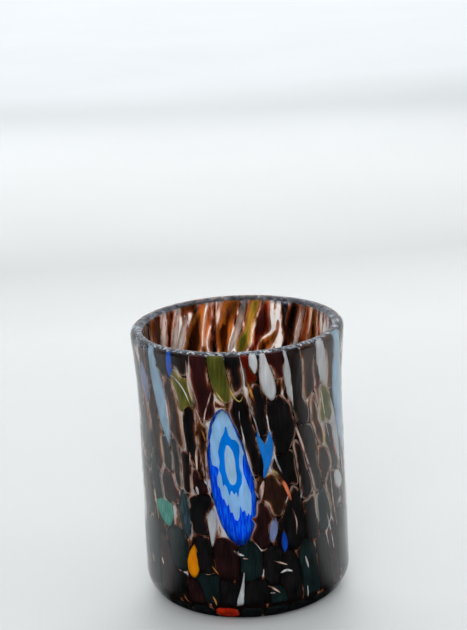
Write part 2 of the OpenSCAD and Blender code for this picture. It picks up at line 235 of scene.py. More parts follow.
def roll_back(region, place, flat, depth):
    """Points of the plane put back in the chip layer, flat in millimetres and depth in metres."""
    if region == BASE:
        across = place + flat * MM
        return np.stack([across[:, 0], across[:, 1], FOOT_T + depth], -1)
    azimuth = place[0] + flat[:, 0] * MM / WALL_REF
    up = place[1] + flat[:, 1] * MM
    if region == HEEL:
        return heel_point(azimuth, up / HEEL_R, depth)
    return layer_point(azimuth, drawn_up(up), depth)


def drawn_up(height):
    """Chips that end at the mouth are drawn up into the lip, as the fire polish leaves them."""
    over = np.clip(height - MOUTH_Z + LIP_EASE, 0, None)
    height = np.minimum(height, MOUTH_Z - LIP_EASE) + LIP_EASE * (1 - np.exp(-over / LIP_EASE))
    share = np.clip((height - (MOUTH_Z - LIP_PULL_FROM)) / LIP_PULL_FROM, 0, 1)
    return height + LIP_PULL * share * share * (3 - 2 * share)


def ring_steps(line):
    return np.linalg.norm(np.roll(line, -1, 0) - line, axis=1)


def spaced(line, count):
    """The closed line with evenly spaced points."""
    walk = np.concatenate([[0], np.cumsum(ring_steps(line))])
    closed = np.vstack([line, line[:1]])
    at = np.linspace(0, walk[-1], count, endpoint=False)
    return np.stack([np.interp(at, walk, closed[:, k]) for k in (0, 1)], -1)


def melted(line, passes=3):
    """The closed line with its corners melted round."""
    for _ in range(passes):
        line = 0.25 * np.roll(line, 1, 0) + 0.5 * line + 0.25 * np.roll(line, -1, 0)
    return line


def dense(flat, passes=3):
    """The outline turned counter-clockwise, densely spaced and melted round."""
    x, y = flat[:, 0], flat[:, 1]
    if np.sum(x * np.roll(y, -1) - y * np.roll(x, -1)) < 0:
        flat = flat[::-1]
    return melted(spaced(flat, max(24, int(ring_steps(flat).sum() / OUTLINE_STEP))), passes)


def out_of(line):
    """Direction out of a closed, counter-clockwise line at each of its points."""
    along = np.roll(line, -1, 0) - np.roll(line, 1, 0)
    out = np.stack([along[:, 1], -along[:, 0]], -1)
    return out / np.maximum(np.linalg.norm(out, axis=1), 1e-9)[:, None]


def wandering(line, seed):
    return np.array([noise.noise(Vector((q[0] * 0.6, q[1] * 0.3, seed * 3.7))) for q in line])


# ---------------------------------------------------------------- how the chips flow together

# Glasses that flow out until they meet their neighbours; the others keep their shape
FLOWING = (
    "black_chips", "plum_chips", "brown_chips", "smoke_chips", "bottle_chips", "olive_chips",
    "amber_chips", "red_chips",
)
FIRM = ("white_chips", "pale_blue_chips", "azure_chip", "cobalt_chips", "lilac_chips")
MURRINA_NODES = ("orange_murrina", "teal_murrina", "slate_murrina")
UNDER_NODES = ("heel_chips", "base_chips")
# The flower slice's outline, across and up as shares of its half width and half length
SLICE_EDGE = (
    (0.0, 1.0), (0.22, 0.95), (0.40, 0.83), (0.53, 0.68), (0.66, 0.50), (0.80, 0.30), (0.92, 0.08),
    (0.98, -0.15), (0.97, -0.38), (0.88, -0.58), (0.70, -0.76), (0.45, -0.92), (0.15, -1.0),
    (-0.15, -0.98), (-0.42, -0.88), (-0.65, -0.70), (-0.82, -0.48), (-0.92, -0.22), (-0.95, 0.05),
    (-0.92, 0.30), (-0.80, 0.58), (-0.60, 0.80), (-0.30, 0.95),
)
# The slice's half width, half length, lean in degrees, and step from the middle of its place
SLICE = (4.85, 16.1, 4.3, (0.15, -0.2))
# Chips with a shape of their own: node, azimuth and height of the place, and the outline in
# millimetres from the middle of that place
OWN_SHAPE = (
    ("azure_chip", 13, 39, (
        (-2.0, 6.4), (-1.5, 4.6), (-0.2, 2.2), (0.5, 4.4), (0.9, 6.6), (1.5, 3.6), (1.5, 1.6),
        (1.3, -0.4), (0.6, -2.6), (-0.2, -4.6), (-0.9, -6.4), (-0.9, -4.8), (-0.8, -3.0),
        (-1.0, -1.0), (-1.5, 1.4), (-1.9, 3.8),
    )),
    ("white_chips", -19, 23, (
        (0.3, 4.9), (-0.5, 4.0), (-1.2, 3.0), (-1.1, 0.5), (-0.8, -2.2), (-0.4, -5.0), (0.2, -2.6),
        (0.8, -0.2), (0.9, 1.6), (0.7, 3.4),
    )),
    ("white_chips", -4.5, 7, (
        (1.0, 5.8), (0.8, 3.5), (0.6, 0.5), (0.4, -2.0), (0.3, -3.9), (-1.4, -4.1), (-0.8, -2.4),
        (-0.1, 0.0), (0.5, 2.8),
    )),
    ("orange_murrina", -32, 13, (
        (0.5, 4.4), (-0.7, 2.6), (-1.5, 0.2), (-1.5, -1.6), (-0.9, -3.2), (0.1, -4.0), (0.9, -3.0),
        (1.4, -1.0), (1.4, 0.8), (1.1, 2.6),
    )),
    ("teal_murrina", -51, 25, (
        (-3.6, 2.2), (-2.0, 2.8), (-0.3, 3.1), (2.2, 2.6), (2.5, 0.4), (2.0, -1.4), (1.2, -3.1),
        (0.2, -3.1), (-1.7, -1.6), (-3.3, 0.4),
    )),
)
FLOW_STEPS = np.linspace(0, 2.4, 17)
# How much less far a chip flows up and down than it flows sideways
FLOW_UP = 0.6
# How far chips at the back lean over for each millimetre of height
BACK_LEAN = 0.16
# Strands and waves round the glass, the size of a wave at the back, and how far the strands are
# drawn low down, half way and high up, all in millimetres
STRANDS = 9.0
WAVES = 5.0
WAVE_SIZE = 2.0
COMB_SIZES = (1.0, 2.5, 4.5)


def slice_axes():
    """The flower slice's half width and half length as steps in the plane, in millimetres."""
    half_width, half_length, lean, _ = SLICE
    c, s = math.cos(math.radians(lean)), math.sin(math.radians(lean))
    return np.array([c, s]) * half_width, np.array([-s, c]) * half_length


def on_slice(edge):
    """An outline of the slice, given in shares, in millimetres from the middle of its place."""
    across, up = slice_axes()
    return np.array([u * across + v * up for u, v in edge]) + SLICE[3]


def own_shape(node, place):
    """The outline that a chip has of its own, if any."""
    if node == "flower_shell":
        return on_slice(SLICE_EDGE)
    for name, turn, up, outline in OWN_SHAPE:
        near = abs(math.degrees(place[0]) - turn) < 2.5 and abs(place[1] / MM - up) < 3.5
        if name == node and near:
            return np.array(outline)
    return None


def pointed(line, power=0.35):
    """An outline whose two ends are drawn to points."""
    _, ways = np.linalg.eigh(np.cov(line.T))
    across, along = ways[:, 0], ways[:, 1]
    middle = 0.5 * (line.max(0) + line.min(0))
    u, v = (line - middle) @ across, (line - middle) @ along
    share = np.clip(1 - (v / (1.03 * np.abs(v).max())) ** 2, 0, 1) ** power
    return middle + np.outer(u * share * 1.06, across) + np.outer(v * 1.04, along)


def inside(points, line):
    """Which points of the plane lie inside a closed line."""
    a, b = line, np.roll(line, -1, 0)
    x, y = points[:, :1], points[:, 1:]
    spans = (a[:, 1] > y) != (b[:, 1] > y)
    rise = np.where(a[:, 1] == b[:, 1], 1e-9, b[:, 1] - a[:, 1])
    crossing = x < a[:, 0] + (y - a[:, 1]) / rise * (b[:, 0] - a[:, 0])
    return (spans & crossing).sum(1) % 2 == 1


def leaned(flat):
    """A wall chip's outline leant over further where it lies round the back under the mouth."""
    region, place, line = flat
    chart = wall_chart(flat)
    up = chart[:, 1]
    behind = np.clip(0.5 - np.cos(chart[:, 0] * MM / WALL_REF), 0, 1) * np.clip((up - 40) / 10, 0, 1)
    return region, place, line - np.stack([BACK_LEAN * (up - 54) * behind, np.zeros(len(up))], -1)


def combed(flat, firm_lines):
    """A wall chip's outline drawn up and down in strands and waved round the back, as the wall's
    pull leaves it; both die out near the chips that keep their shape, at the mouth and over the
    heel."""
    region, place, line = flat
    chart = wall_chart(flat)
    azimuth, up = chart[:, 0] * MM / WALL_REF, chart[:, 1]
    ring = np.stack([np.cos(azimuth), np.sin(azimuth)], -1)
    strand = np.array([noise.noise(Vector((*STRANDS * q, 0.05 * z))) for q, z in zip(ring, up)])
    wave = np.array([noise.noise(Vector((*WAVES * q, 0.17 * z))) for q, z in zip(ring, up)])
    ends = np.clip((MOUTH_Z / MM - 0.2 - up) / 3, 0, 1) * np.clip((up - 6) / 5, 0, 1)
    firm_points = np.vstack(firm_lines)
    apart = (chart[:, :1] - firm_points[:, 0]) ** 2 + (chart[:, 1:] - firm_points[:, 1]) ** 2
    near = np.clip(np.sqrt(apart.min(1)) / 2.5 - 0.15, 0, 1)
    behind = np.clip(0.5 - ring[:, 0], 0, 1) * np.clip((up - 40) / 10, 0, 1)
    aside = wave * near * (0.8 + WAVE_SIZE * behind)
    lifted = strand * near * ends * np.interp(up, (10, 26, 45), COMB_SIZES)
    line = line + np.stack([aside, lifted], -1)
    shift = chart[0] - flat[2][0]
    for firm_line in firm_lines:
        middle = line.mean(0)
        for _ in range(12):
            caught = inside(line + shift, firm_line)
            if not caught.any():
                break
            way = middle - line[caught]
            line[caught] += 0.2 * way / np.maximum(np.linalg.norm(way, axis=1), 1e-6)[:, None]
    return region, place, dense(line, 1)


def wall_chart(flat):
    """A wall outline in the one plane that all wall chips share, in millimetres."""
    _, (azimuth, up), line = flat
    return line + np.array([azimuth * WALL_REF, up]) / MM


def vein_width(flat):
    """Width of the vein round a chip: fine at the front, broad round the back under the mouth."""
    azimuth, up = flat[1]
    behind = max(0.0, -math.cos(azimuth)) * min(max((up - 30 * MM) / (15 * MM), 0), 1)
    return 0.10 + 0.22 * behind


def seen_from_middle(line, count=64):
    """The part of a closed line's inside that its own middle sees, as a closed line."""
    middle = line.mean(0)
    sizes, ways = np.linalg.eigh(np.cov(line.T))
    scale = ways / np.sqrt(sizes)
    a = (line - middle) @ scale
    ab = np.roll(a, -1, 0) - a
    turn = 2 * math.pi * np.arange(count) / count
    ray = np.stack([np.cos(turn), np.sin(turn)], -1)
    if np.linalg.det(scale) < 0:
        ray = ray[::-1]
    spread = ray[:, :1] * ab[:, 1] - ray[:, 1:] * ab[:, 0]
    spread = np.where(np.abs(spread) < 1e-12, 1e-12, spread)
    far = (a[:, 0] * ab[:, 1] - a[:, 1] * ab[:, 0]) / spread
    along = (a[:, 0] * ray[:, 1:] - a[:, 1] * ray[:, :1]) / spread
    reach = np.where((far > 0) & (along >= 0) & (along <= 1), far, np.inf).min(1)
    reach = np.where(np.isfinite(reach), reach, 0.1)
    return middle + (ray * reach[:, None]) @ np.linalg.inv(scale)


def flowed(flat, others, seed):
    """A chip's outline after it has flowed out to meet the others, each given as its chart
    outline and whether it flows as well."""
    region, place, line = flat
    chart = wall_chart(flat)
    out = out_of(line)
    turn = 2 * math.pi * WALL_REF / MM
    near = []
    for other, flows in others:
        shift = turn * np.round((chart[0, 0] - other[0, 0]) / turn)
        moved = other + np.array([shift, 0.0])
        apart = np.maximum(moved.min(0) - chart.max(0), chart.min(0) - moved.max(0)).max()
        if apart < FLOW_STEPS[-1]:
            near.append((moved, flows))
    points = np.vstack([m for m, _ in near])
    meets = np.concatenate([np.full(len(m), float(flows)) for m, flows in near])
    gap = vein_width(flat)
    furthest = FLOW_STEPS[-1] * (1 - FLOW_UP * np.abs(out[:, 1]))
    reach = np.zeros(len(line))
    going = np.arange(len(line))
    for t in FLOW_STEPS:
        ahead = chart[going] + out[going] * t
        apart = (ahead[:, :1] - points[:, 0]) ** 2 + (ahead[:, 1:] - points[:, 1]) ** 2
        nearest = apart.argmin(1)
        room = np.sqrt(apart[np.arange(len(going)), nearest])
        meeting = meets[nearest]
        free = (room > t * meeting + gap * (1 - 0.5 * meeting)) & (t <= furthest[going])
        going = going[free]
        reach[going] = t
    eased = reach.copy()
    for _ in range(3):
        eased = np.minimum(reach + 0.1, 0.25 * np.roll(eased, 1) + 0.5 * eased + 0.25 * np.roll(eased, -1))
    line = line + out * (eased + 0.08 * wandering(line, seed))[:, None]
    lowest, highest = chart[:, 1].min() - place[1] / MM, MOUTH_Z / MM - place[1] / MM
    line[:, 1] = np.clip(line[:, 1], lowest - 0.1, highest)
    line = seen_from_middle(line)
    return region, place, spaced(melted(line, 1), max(24, int(ring_steps(line).sum() / 0.5)))


def firm(flat, seed, growth=0.08, passes=0):
    """A chip's outline where it keeps its shape."""
    region, place, line = flat
    line = line + out_of(line) * (growth + 0.08 * wandering(line, seed))[:, None]
    return region, place, spaced(melted(line, passes), max(20, int(ring_steps(line).sum() / 0.6)))


def all_chips():
    """Outlines of every chip by node, in the plane, flowed together."""
    raw = {}
    for node in ("flower_shell", *FIRM, *MURRINA_NODES, *FLOWING, *UNDER_NODES):
        loops = node_loops(node)
        if node == "flower_shell":
            loops = [max(loops, key=lambda loop: np.ptp(loop[:, 2]))]
        raw[node] = []
        for region, place, line in map(flatten, loops):
            own = own_shape(node, place) if region == WALL else None
            if own is not None:
                raw[node].append((region, place, dense(own, 1)))
            else:
                line = dense(line)
                if region == WALL:
                    line = dense(pointed(line, 0.35 if node in FIRM else 0.25), 1)
                    region, place, line = leaned((region, place, line))
                raw[node].append((region, place, line))
        if node == MURRINA_NODES[-1]:
            firm_lines = [wall_chart(flat) for flats in raw.values() for flat in flats]
        elif node in FLOWING:
            raw[node] = [combed(f, firm_lines) if f[0] == WALL else f for f in raw[node]]
    charts = {
        (node, i): (wall_chart(flat), node in FLOWING)
        for node, flats in raw.items() for i, flat in enumerate(flats) if flat[0] == WALL
    }
    chips = {}
    for node, flats in raw.items():
        chips[node] = []
        for i, flat in enumerate(flats):
            seed = len(node) * 10 + i
            if node in FLOWING and flat[0] == WALL:
                others = [chart for key, chart in charts.items() if key != (node, i)]
                chips[node].append(flowed(flat, others, seed))
            else:
                chips[node].append(firm(flat, seed))
    return chips


CHIPS = all_chips()


# ---------------------------------------------------------------- Blender helpers

def settings():
    return bpy.context.scene.shot_glass


def only(obj):
    """Makes obj the one selected, active object."""
    bpy.ops.object.select_all(action="DESELECT")
    obj.select_set(True)
    bpy.context.view_layer.objects.active = obj
    return obj


def new_object(name, points, edges=(), faces=()):
    mesh = bpy.data.meshes.new(name)
    mesh.from_pydata([tuple(p) for p in points], list(edges), list(faces))
    obj = bpy.data.objects.new(name, mesh)
    bpy.context.scene.collection.objects.link(obj)
    return only(obj)


def edit(obj, kind="VERT"):
    only(obj)
    bpy.ops.object.mode_set(mode="EDIT")
    bpy.ops.mesh.select_mode(type=kind)
    bpy.ops.mesh.select_all(action="SELECT")


def leave_edit():
    bpy.ops.object.mode_set(mode="OBJECT")


def spun(name, profile, turns):
    """A surface turned round the axis from pairs of radius and height."""
    points = [(r, 0.0, z) for r, z in profile]
    obj = new_object(name, points, [(i, i + 1) for i in range(len(points) - 1)])
    edit(obj)
    bpy.ops.mesh.spin(steps=turns, angle=2 * math.pi, center=(0, 0, 0), axis=(0, 0, 1))
    bpy.ops.mesh.select_all(action="SELECT")
    bpy.ops.mesh.remove_doubles(threshold=0.002 * MM)
    bpy.ops.mesh.normals_make_consistent(inside=False)
    leave_edit()
    bpy.ops.object.shade_smooth()
    return obj


def points_of(obj):
    co = np.empty(len(obj.data.vertices) * 3)
    obj.data.vertices.foreach_get("co", co)
    return co.reshape(-1, 3)


def float_attribute(obj, name, values):
    made = obj.data.attributes.get(name) or obj.data.attributes.new(name, "FLOAT", "POINT")
    made.data.foreach_set("value", np.asarray(values, np.float32))


def vector_attribute(obj, name, values):
    made = obj.data.attributes.new(name, "FLOAT_VECTOR", "POINT")
    made.data.foreach_set("vector", np.asarray(values, np.float32).ravel())


def read_attribute(obj, name):
    values = np.empty(len(obj.data.vertices), np.float32)
    obj.data.attributes[name].data.foreach_get("value", values)
    return values


class Nodes:
    """Short hand for building a material's nodes."""

    def __init__(self, name):
        self.material = bpy.data.materials.new(name)
        self.material.use_nodes = True
        self.tree = self.material.node_tree
        self.tree.nodes.clear()
        self.out = self.add("OutputMaterial")

    def add(self, kind, **inputs):
        made = self.tree.nodes.new("ShaderNode" + kind)
        for name, value in inputs.items():
            self.put(made, name, value)
        return made

    def put(self, made, name, value):
        socket = made.inputs[name if not name.startswith("in") else int(name[2:])]
        if isinstance(value, bpy.types.NodeSocket):
            self.tree.links.new(value, socket)
        else:
            socket.default_value = value

    def link(self, a, b):
        self.tree.links.new(a, b)

    def math(self, operation, a, b=None, c=None, clamp=False):
        made = self.add("Math")
        made.operation = operation
        made.use_clamp = clamp
        for k, value in enumerate((a, b, c)):
            if value is not None:
                self.put(made, "in%d" % k, value)
        return made.outputs[0]

    def attribute(self, name, output="Fac"):
        made = self.add("Attribute")
        made.attribute_name = name
        return made.outputs[output]

    def ramp(self, factor, stops):
        made = self.add("ValToRGB")
        ramp = made.color_ramp
        while len(ramp.elements) < len(stops):
            ramp.elements.new(0.5)
        for element, (at, colour) in zip(ramp.elements, stops):
            element.position = at
            element.color = (*colour[:3], 1)
        self.put(made, "in0", factor)
        return made.outputs[0]

    def noise(self, vector, scale, detail=2.0, rough=0.5, distort=0.0):
        made = self.add("TexNoise", Vector=vector)
        made.inputs["Scale"].default_value = scale
        made.inputs["Detail"].default_value = detail
        made.inputs["Roughness"].default_value = rough
        made.inputs["Distortion"].default_value = distort
        return made.outputs["Fac"]

    def stretched(self, vector, scale):
        made = self.add("Mapping", Vector=vector)
        made.inputs["Scale"].default_value = scale
        return made.outputs[0]

    def mix(self, factor, a, b, blend="MIX"):
        made = self.add("Mix")
        made.data_type = "RGBA"
        made.blend_type = blend
        self.put(made, "in0", factor)
        self.put(made, "in6", a)
        self.put(made, "in7", b)
        return made.outputs[2]

    def grey(self, level):
        return self.add("CombineColor", Red=level, Green=level, Blue=level).outputs[0]

    def place(self):
        return self.add("TexCoord").outputs["Object"]


def finish_piece(obj, material, nodes):
    """Gives a finished piece its material, hangs it on the root and hides the parts of the model that it
    stands for.
    """
    obj.data.materials.clear()
    obj.data.materials.append(material)
    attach(obj, "root")
    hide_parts(*nodes)
    return obj


# ---------------------------------------------------------------- the clear body

def clear_glass():
    """Clear glass with a few faint waves, as it leaves the furnace."""
    n = Nodes("clear_glass")
    waves = n.noise(n.place(), 130.0, 1.0)
    bump = n.add("Bump", Height=waves)
    bump.inputs["Strength"].default_value = 0.25
    bump.inputs["Distance"].default_value = 0.3 * MM
    shader = n.add("BsdfPrincipled", Normal=bump.outputs[0])
    shader.inputs["Base Color"].default_value = (0.975, 0.985, 0.985, 1)
    shader.inputs["Roughness"].default_value = 0.0
    shader.inputs["IOR"].default_value = settings().glass_ior
    shader.inputs["Transmission Weight"].default_value = 1.0
    n.link(shader.outputs[0], n.out.inputs[0])
    return n.material


def bowl_line():
    """The lip and the bowl, from the mouth's outer edge over the lip and down to the floor."""
    rings = rings_of("inner_gather")
    floor_z = rings[rings[:, 0] < 0.1 * MM, 1].max()
    lip = [(r, z) for r, z in rings if z > MOUTH_Z + 0.05 * MM]
    thick = CASING_T + 1.4 * CHIP_T
    bowl = [
        (r, z) for r, z in rings
        if floor_z - 0.01 * MM < z <= MOUTH_Z + 0.05 * MM and r < outer_r(z) - thick
    ]
    crest = 0.5 * (max(r for r, z in lip) + min(r for r, z in lip))
    outside = sorted([q for q in lip if q[0] > crest], key=lambda q: (q[1], -q[0]))
    inside = sorted([q for q in lip if q[0] < crest], key=lambda q: (-q[1], -q[0]))
    return outside + inside + sorted(bowl, key=lambda q: (-q[1], -q[0]))


def ripple(body, size):
    """Moves the walls in a little here and there, as hand work leaves them, but not foot or rim."""
    for v in body.data.vertices:
        r = math.hypot(v.co.x, v.co.y)
        if r < 1e-6:
            continue
        hold = min(max((v.co.z - 0.5 * MM) / (4 * MM), 0), max((HEIGHT - v.co.z) / (4 * MM), 0), 1)
        swell = noise.noise(Vector((v.co.x, v.co.y, v.co.z * 0.5)) * 160)
        away = min(0.0, size * hold * (swell - 0.6))
        v.co.x *= 1 + away / r
        v.co.y *= 1 + away / r


class SHOTGLASS_OT_body(bpy.types.Operator):
    """Spins the clear body from its half section"""

    bl_idname = "shotglass.body"
    bl_label = "Clear body"

    def execute(self, context):
        sizes = settings()
        dish = [(sizes.pontil_r * k / 7, sizes.pontil_depth * (1 - (k / 7) ** 2)) for k in range(7)]
        foot = [(sizes.pontil_r, 0.0), (0.5 * (sizes.pontil_r + HEEL_MID), 0.0)]
        heel = [
            (HEEL_MID + HEEL_R * math.sin(a), HEEL_R * (1 - math.cos(a)))
            for a in np.linspace(0, math.pi / 2, 17)[:-1]
        ]
        upper = smooth_line(WALL_RINGS + bowl_line(), 6)
        upper[-1][0] = 0.0
        upper[:, 1] = np.minimum(upper[:, 1], HEIGHT - 0.01 * MM)
        body = spun("glass_body", dish + foot + heel + list(upper), sizes.turns)
        ripple(body, sizes.ripple)
        finish_piece(body, clear_glass(), CLEAR_NODES)
        return {"FINISHED"}


# ---------------------------------------------------------------- veins between the chips

# Tones of the veins by how much painted light they get: unlit dark, warm, lit pale, painted highlight
VEIN_DARK = (0.012, 0.006, 0.005)
VEIN_WARM = (0.38, 0.13, 0.05)
VEIN_LIT_PALE = (0.95, 0.80, 0.73)
VEIN_HIGHLIGHT = (1.0, 0.98, 0.96)
# Painted tones of the lip, for the clear rim's painted reflections and glints over the dark chips seen
# through it: from dark to bright painted glints
LIP_GLINT_TONES = (
    (0.36, (0.012, 0.014, 0.020)), (0.45, (0.10, 0.115, 0.15)), (0.55, (0.23, 0.26, 0.33)),
    (0.63, (0.48, 0.52, 0.60)), (0.70, (0.95, 0.95, 0.97)),
)
# Places of painted light on the veins, lit patches and the painted glints low at the front: azimuth, height,
# half width in degrees, half height in millimetres
LIT_VEIN_PATCHES = (
    (12.5, 31.5, 2.0, 2.5), (24.0, 29.0, 1.6, 2.0), (22.0, 33.5, 1.4, 2.0), (-18.0, 27.0, 1.8, 1.4),
    (-22.0, 38.0, 1.2, 3.0), (-21.5, 33.0, 1.6, 2.0), (-14.0, 52.0, 1.5, 2.5), (6.0, 18.5, 3.5, 0.7),
    (-5.0, 17.5, 4.0, 0.5), (10.0, 12.5, 5.0, 0.6), (-14.0, 48.0, 1.2, 3.0), (16.0, 37.0, 0.8, 3.0),
)
# Where the veins get less of the painted light, told the same way
DARKER = ((32.0, 37.0, 24.0, 14.0),)
# How much painted light a place of each kind adds in its middle
LIT_VEIN_GAIN = 0.5
DARKER_GAIN = -0.14
# The web's turn over the lip, which carries the lip's painted reflections and glints: in from its wall and up
# from the chips' tops, in millimetres
LIP_HOOK = ((0.0, 0.0), (0.25, 0.15), (0.75, 0.15), (1.25, -0.1), (1.5, -0.7), (1.6, -1.4))


def vein_runs(n):
    """Painted light on the veins: drawn-out noise patches where the veins are painted lit and where they stay
    dark.
    """
    place = n.place()
    broad = n.noise(n.stretched(place, (1.0, 1.0, 0.14)), 400.0, 2.0)
    fine = n.noise(n.stretched(place, (1.0, 1.0, 0.4)), 800.0, 2.0)
    return n.math("MULTIPLY_ADD", fine, 0.4, n.math("ADD", broad, -0.2))


def vein_glass():
    """Vein glass with painted light: pale to white painted highlights where lit, warm brown between, dark
    where unlit; on the lip, painted glints.
    """
    n = Nodes("vein_glass")
    # Painted light on the veins: the noise runs plus the painted light given at each point
    lit = n.math("ADD", vein_runs(n), n.attribute("milk"))
    vein_light_tones = [(0.46, VEIN_DARK), (0.53, VEIN_WARM), (0.58, VEIN_LIT_PALE), (0.65, VEIN_HIGHLIGHT)]
    wound = n.noise(n.stretched(n.place(), (1.0, 1.0, 3.0)), 420.0, 4.0, 0.65)
    glint_flecks = n.noise(n.stretched(n.place(), (1.0, 1.0, 2.0)), 1300.0, 3.0, 0.6)
    # Painted glints on the lip: bolder at the front, and the lip a shade darker there
    fore = n.math("MULTIPLY_ADD", n.attribute("fore"), 1.6, 0.3)
    tones = n.math("MULTIPLY_ADD", n.math("ADD", glint_flecks, -0.5), fore, wound)
    lip = n.ramp(n.math("MULTIPLY_ADD", n.attribute("fore"), -0.03, tones), LIP_GLINT_TONES)
    colour = n.mix(n.attribute("lip"), n.ramp(lit, vein_light_tones), lip)
    front = n.add("BsdfDiffuse", Color=colour)
    back = n.add("BsdfTranslucent", Color=colour)
    share = n.math("MULTIPLY_ADD", n.attribute("behind"), 0.45, 0.4)
    both = n.add("MixShader", in0=share, in1=front.outputs[0], in2=back.outputs[0])
    n.link(both.outputs[0], n.out.inputs[0])
    return n.material


class SHOTGLASS_OT_veins(bpy.types.Operator):
    """Turns the fine web between the chips, painted with light and shade"""

    bl_idname = "shotglass.veins"
    bl_label = "Veins"

    def execute(self, context):
        under = CASING_T + CHIP_T / 2
        wall = [(r - under, drawn_up(z)) for r, z in WALL_LINE[:-1]]
        heel = heel_point(math.pi / 2, np.linspace(0, math.pi / 2, 12)[:-1], CHIP_T / 2)
        base = [(r, FOOT_T + CHIP_T / 2) for r in np.linspace(0, HEEL_MID, 12)[:-1]]
        top = WALL_LINE[-1][0] - under
        crest = drawn_up(MOUTH_Z)
        hook = [(top - across * MM, crest + up * MM) for across, up in LIP_HOOK]
        web = spun("vein_web", base + [(q[0], q[2]) for q in heel] + wall + hook, 180)
        at = points_of(web)
        azimuth = np.degrees(np.arctan2(at[:, 0], -at[:, 1]))
        fore = np.clip(0.3 + np.cos(np.radians(azimuth)), 0, 1)
        hanging = (at[:, 2] > MOUTH_Z) & (np.hypot(at[:, 0], at[:, 1]) < top - 0.9 * MM)
        raised = np.where(hanging, 0.9 * (1 - fore), 0)
        at[:, 2] += raised * np.clip(crest - at[:, 2], 0, None)
        web.data.vertices.foreach_set("co", at.ravel())
        # Painted light on the veins: a little more at the back under the mouth, painted shade low down, and
        # the listed patches
        low_shade = np.clip((20 * MM - at[:, 2]) / (12 * MM), 0, 1)
        behind = np.clip((at[:, 2] - 30 * MM) / (20 * MM), 0, 1) * np.clip(-np.cos(np.radians(azimuth)), 0, 1)
        # Where the lip's painted glints and reflections take over from the veins
        lip = np.clip((at[:, 2] - 62.0 * MM) / (0.8 * MM), 0, 1)
        milk = 0.11 * behind - 0.16 * low_shade
        for gain, patches in ((LIT_VEIN_GAIN, LIT_VEIN_PATCHES), (DARKER_GAIN, DARKER)):
            for turn, up, half_turn, half_up in patches:
                gap = ((azimuth - turn) / half_turn) ** 2 + ((at[:, 2] / MM - up) / half_up) ** 2
                milk += gain * np.exp(-gap)
        float_attribute(web, "milk", milk)
        float_attribute(web, "lip", lip)
        float_attribute(web, "fore", fore)
        float_attribute(web, "behind", behind)
        finish_piece(web, vein_glass(), ["vein_glass"])
        return {"FINISHED"}


# ---------------------------------------------------------------- chips

SPREAD = 100.0
EDGE_ROUND = 0.55
# Red chips in the wall within this many radians of the front get painted shade, a much darker red than the
# rest, as they have little light behind them
FRONT_TURN = 0.3
RED_FRONT_SHADE = -1.1


def lens_sheet(name, outlines, centres):
    """Flat outlines side by side, each poked into a fan and cut into rings, with a share that is
    0 in the middle and 1 on the outline; a mirrored copy made later in chip_piece closes each into a lens."""
    points, faces = [], []
    for i, line in enumerate(outlines):
        faces.append(list(range(len(points), len(points) + len(line))))
        points += [(q[0] + SPREAD * i, q[1], 0.0) for q in line]
    obj = new_object(name, points, (), faces)
    edit(obj, "FACE")
    bpy.ops.mesh.poke()
    leave_edit()
    hubs = obj.data.vertices[len(points):]
    for hub in hubs:
        i = round(hub.co.x / SPREAD)
        if centres[i] is not None:
            hub.co.x = SPREAD * i + centres[i][0]
            hub.co.y = centres[i][1]
    float_attribute(obj, "share", [1.0] * len(points) + [0.0] * len(hubs))
    edit(obj, "FACE")
    bpy.ops.mesh.subdivide(number_cuts=2)
    leave_edit()
    return obj


def ring_out(plane, share, hub):
    """Moves the inner rings outward, so that the lens rounds off near its edge."""
    eased = np.where(share > 0.99, 1.0, share * (1.55 - 0.45 * share))
    scale = np.where(share > 1e-3, np.minimum(eased, 1.0) / np.maximum(share, 1e-3), 1.0)
    return hub + (plane - hub) * scale[:, None]


def edge_distance(points, line):
    """Distance of points of the plane from a closed line."""
    ab = np.roll(line, -1, 0) - line
    t = ((points[:, None] - line) * ab).sum(2) / np.maximum((ab * ab).sum(1), 1e-12)
    near = line + np.clip(t, 0, 1)[..., None] * ab
    return np.linalg.norm(points[:, None] - near, axis=2).min(1)


def chip_piece(name, flats, lift=0.0, centres=None, rounding=EDGE_ROUND):
    """One object with a softened lens for each flat outline, rolled into the chip layer."""
    seed = sum(ord(c) for c in name)
    outlines = [f[2] for f in flats]
    obj = lens_sheet(name, outlines, centres or [None] * len(flats))
    half = points_of(obj)
    share = read_attribute(obj, "share")
    which = np.round(half[:, 0] / SPREAD).astype(int)
    plane = np.stack([half[:, 0] - which * SPREAD, half[:, 1]], -1)
    edge = np.zeros(len(half))
    for i, line in enumerate(outlines):
        mine = which == i
        hub = plane[mine][share[mine] < 0.01][0]
        plane[mine] = ring_out(plane[mine], share[mine], hub)
        edge[mine] = np.where(share[mine] > 0.99, 0, edge_distance(plane[mine], line))
    bulge = np.sqrt(1 - (1 - np.clip(edge / rounding, 0, 1)) ** 2)
    obj.data.vertices.foreach_set(
        "co", np.stack([plane[:, 0] + which * SPREAD, plane[:, 1], bulge], -1).ravel()
    )
    float_attribute(obj, "edge", edge)
    mirror = obj.modifiers.new("Other half", "MIRROR")
    mirror.use_axis = (False, False, True)
    mirror.merge_threshold = 0.001
    only(obj)
    bpy.ops.object.modifier_apply(modifier=mirror.name)
    roll_up(obj, flats, lift, seed)
    return obj


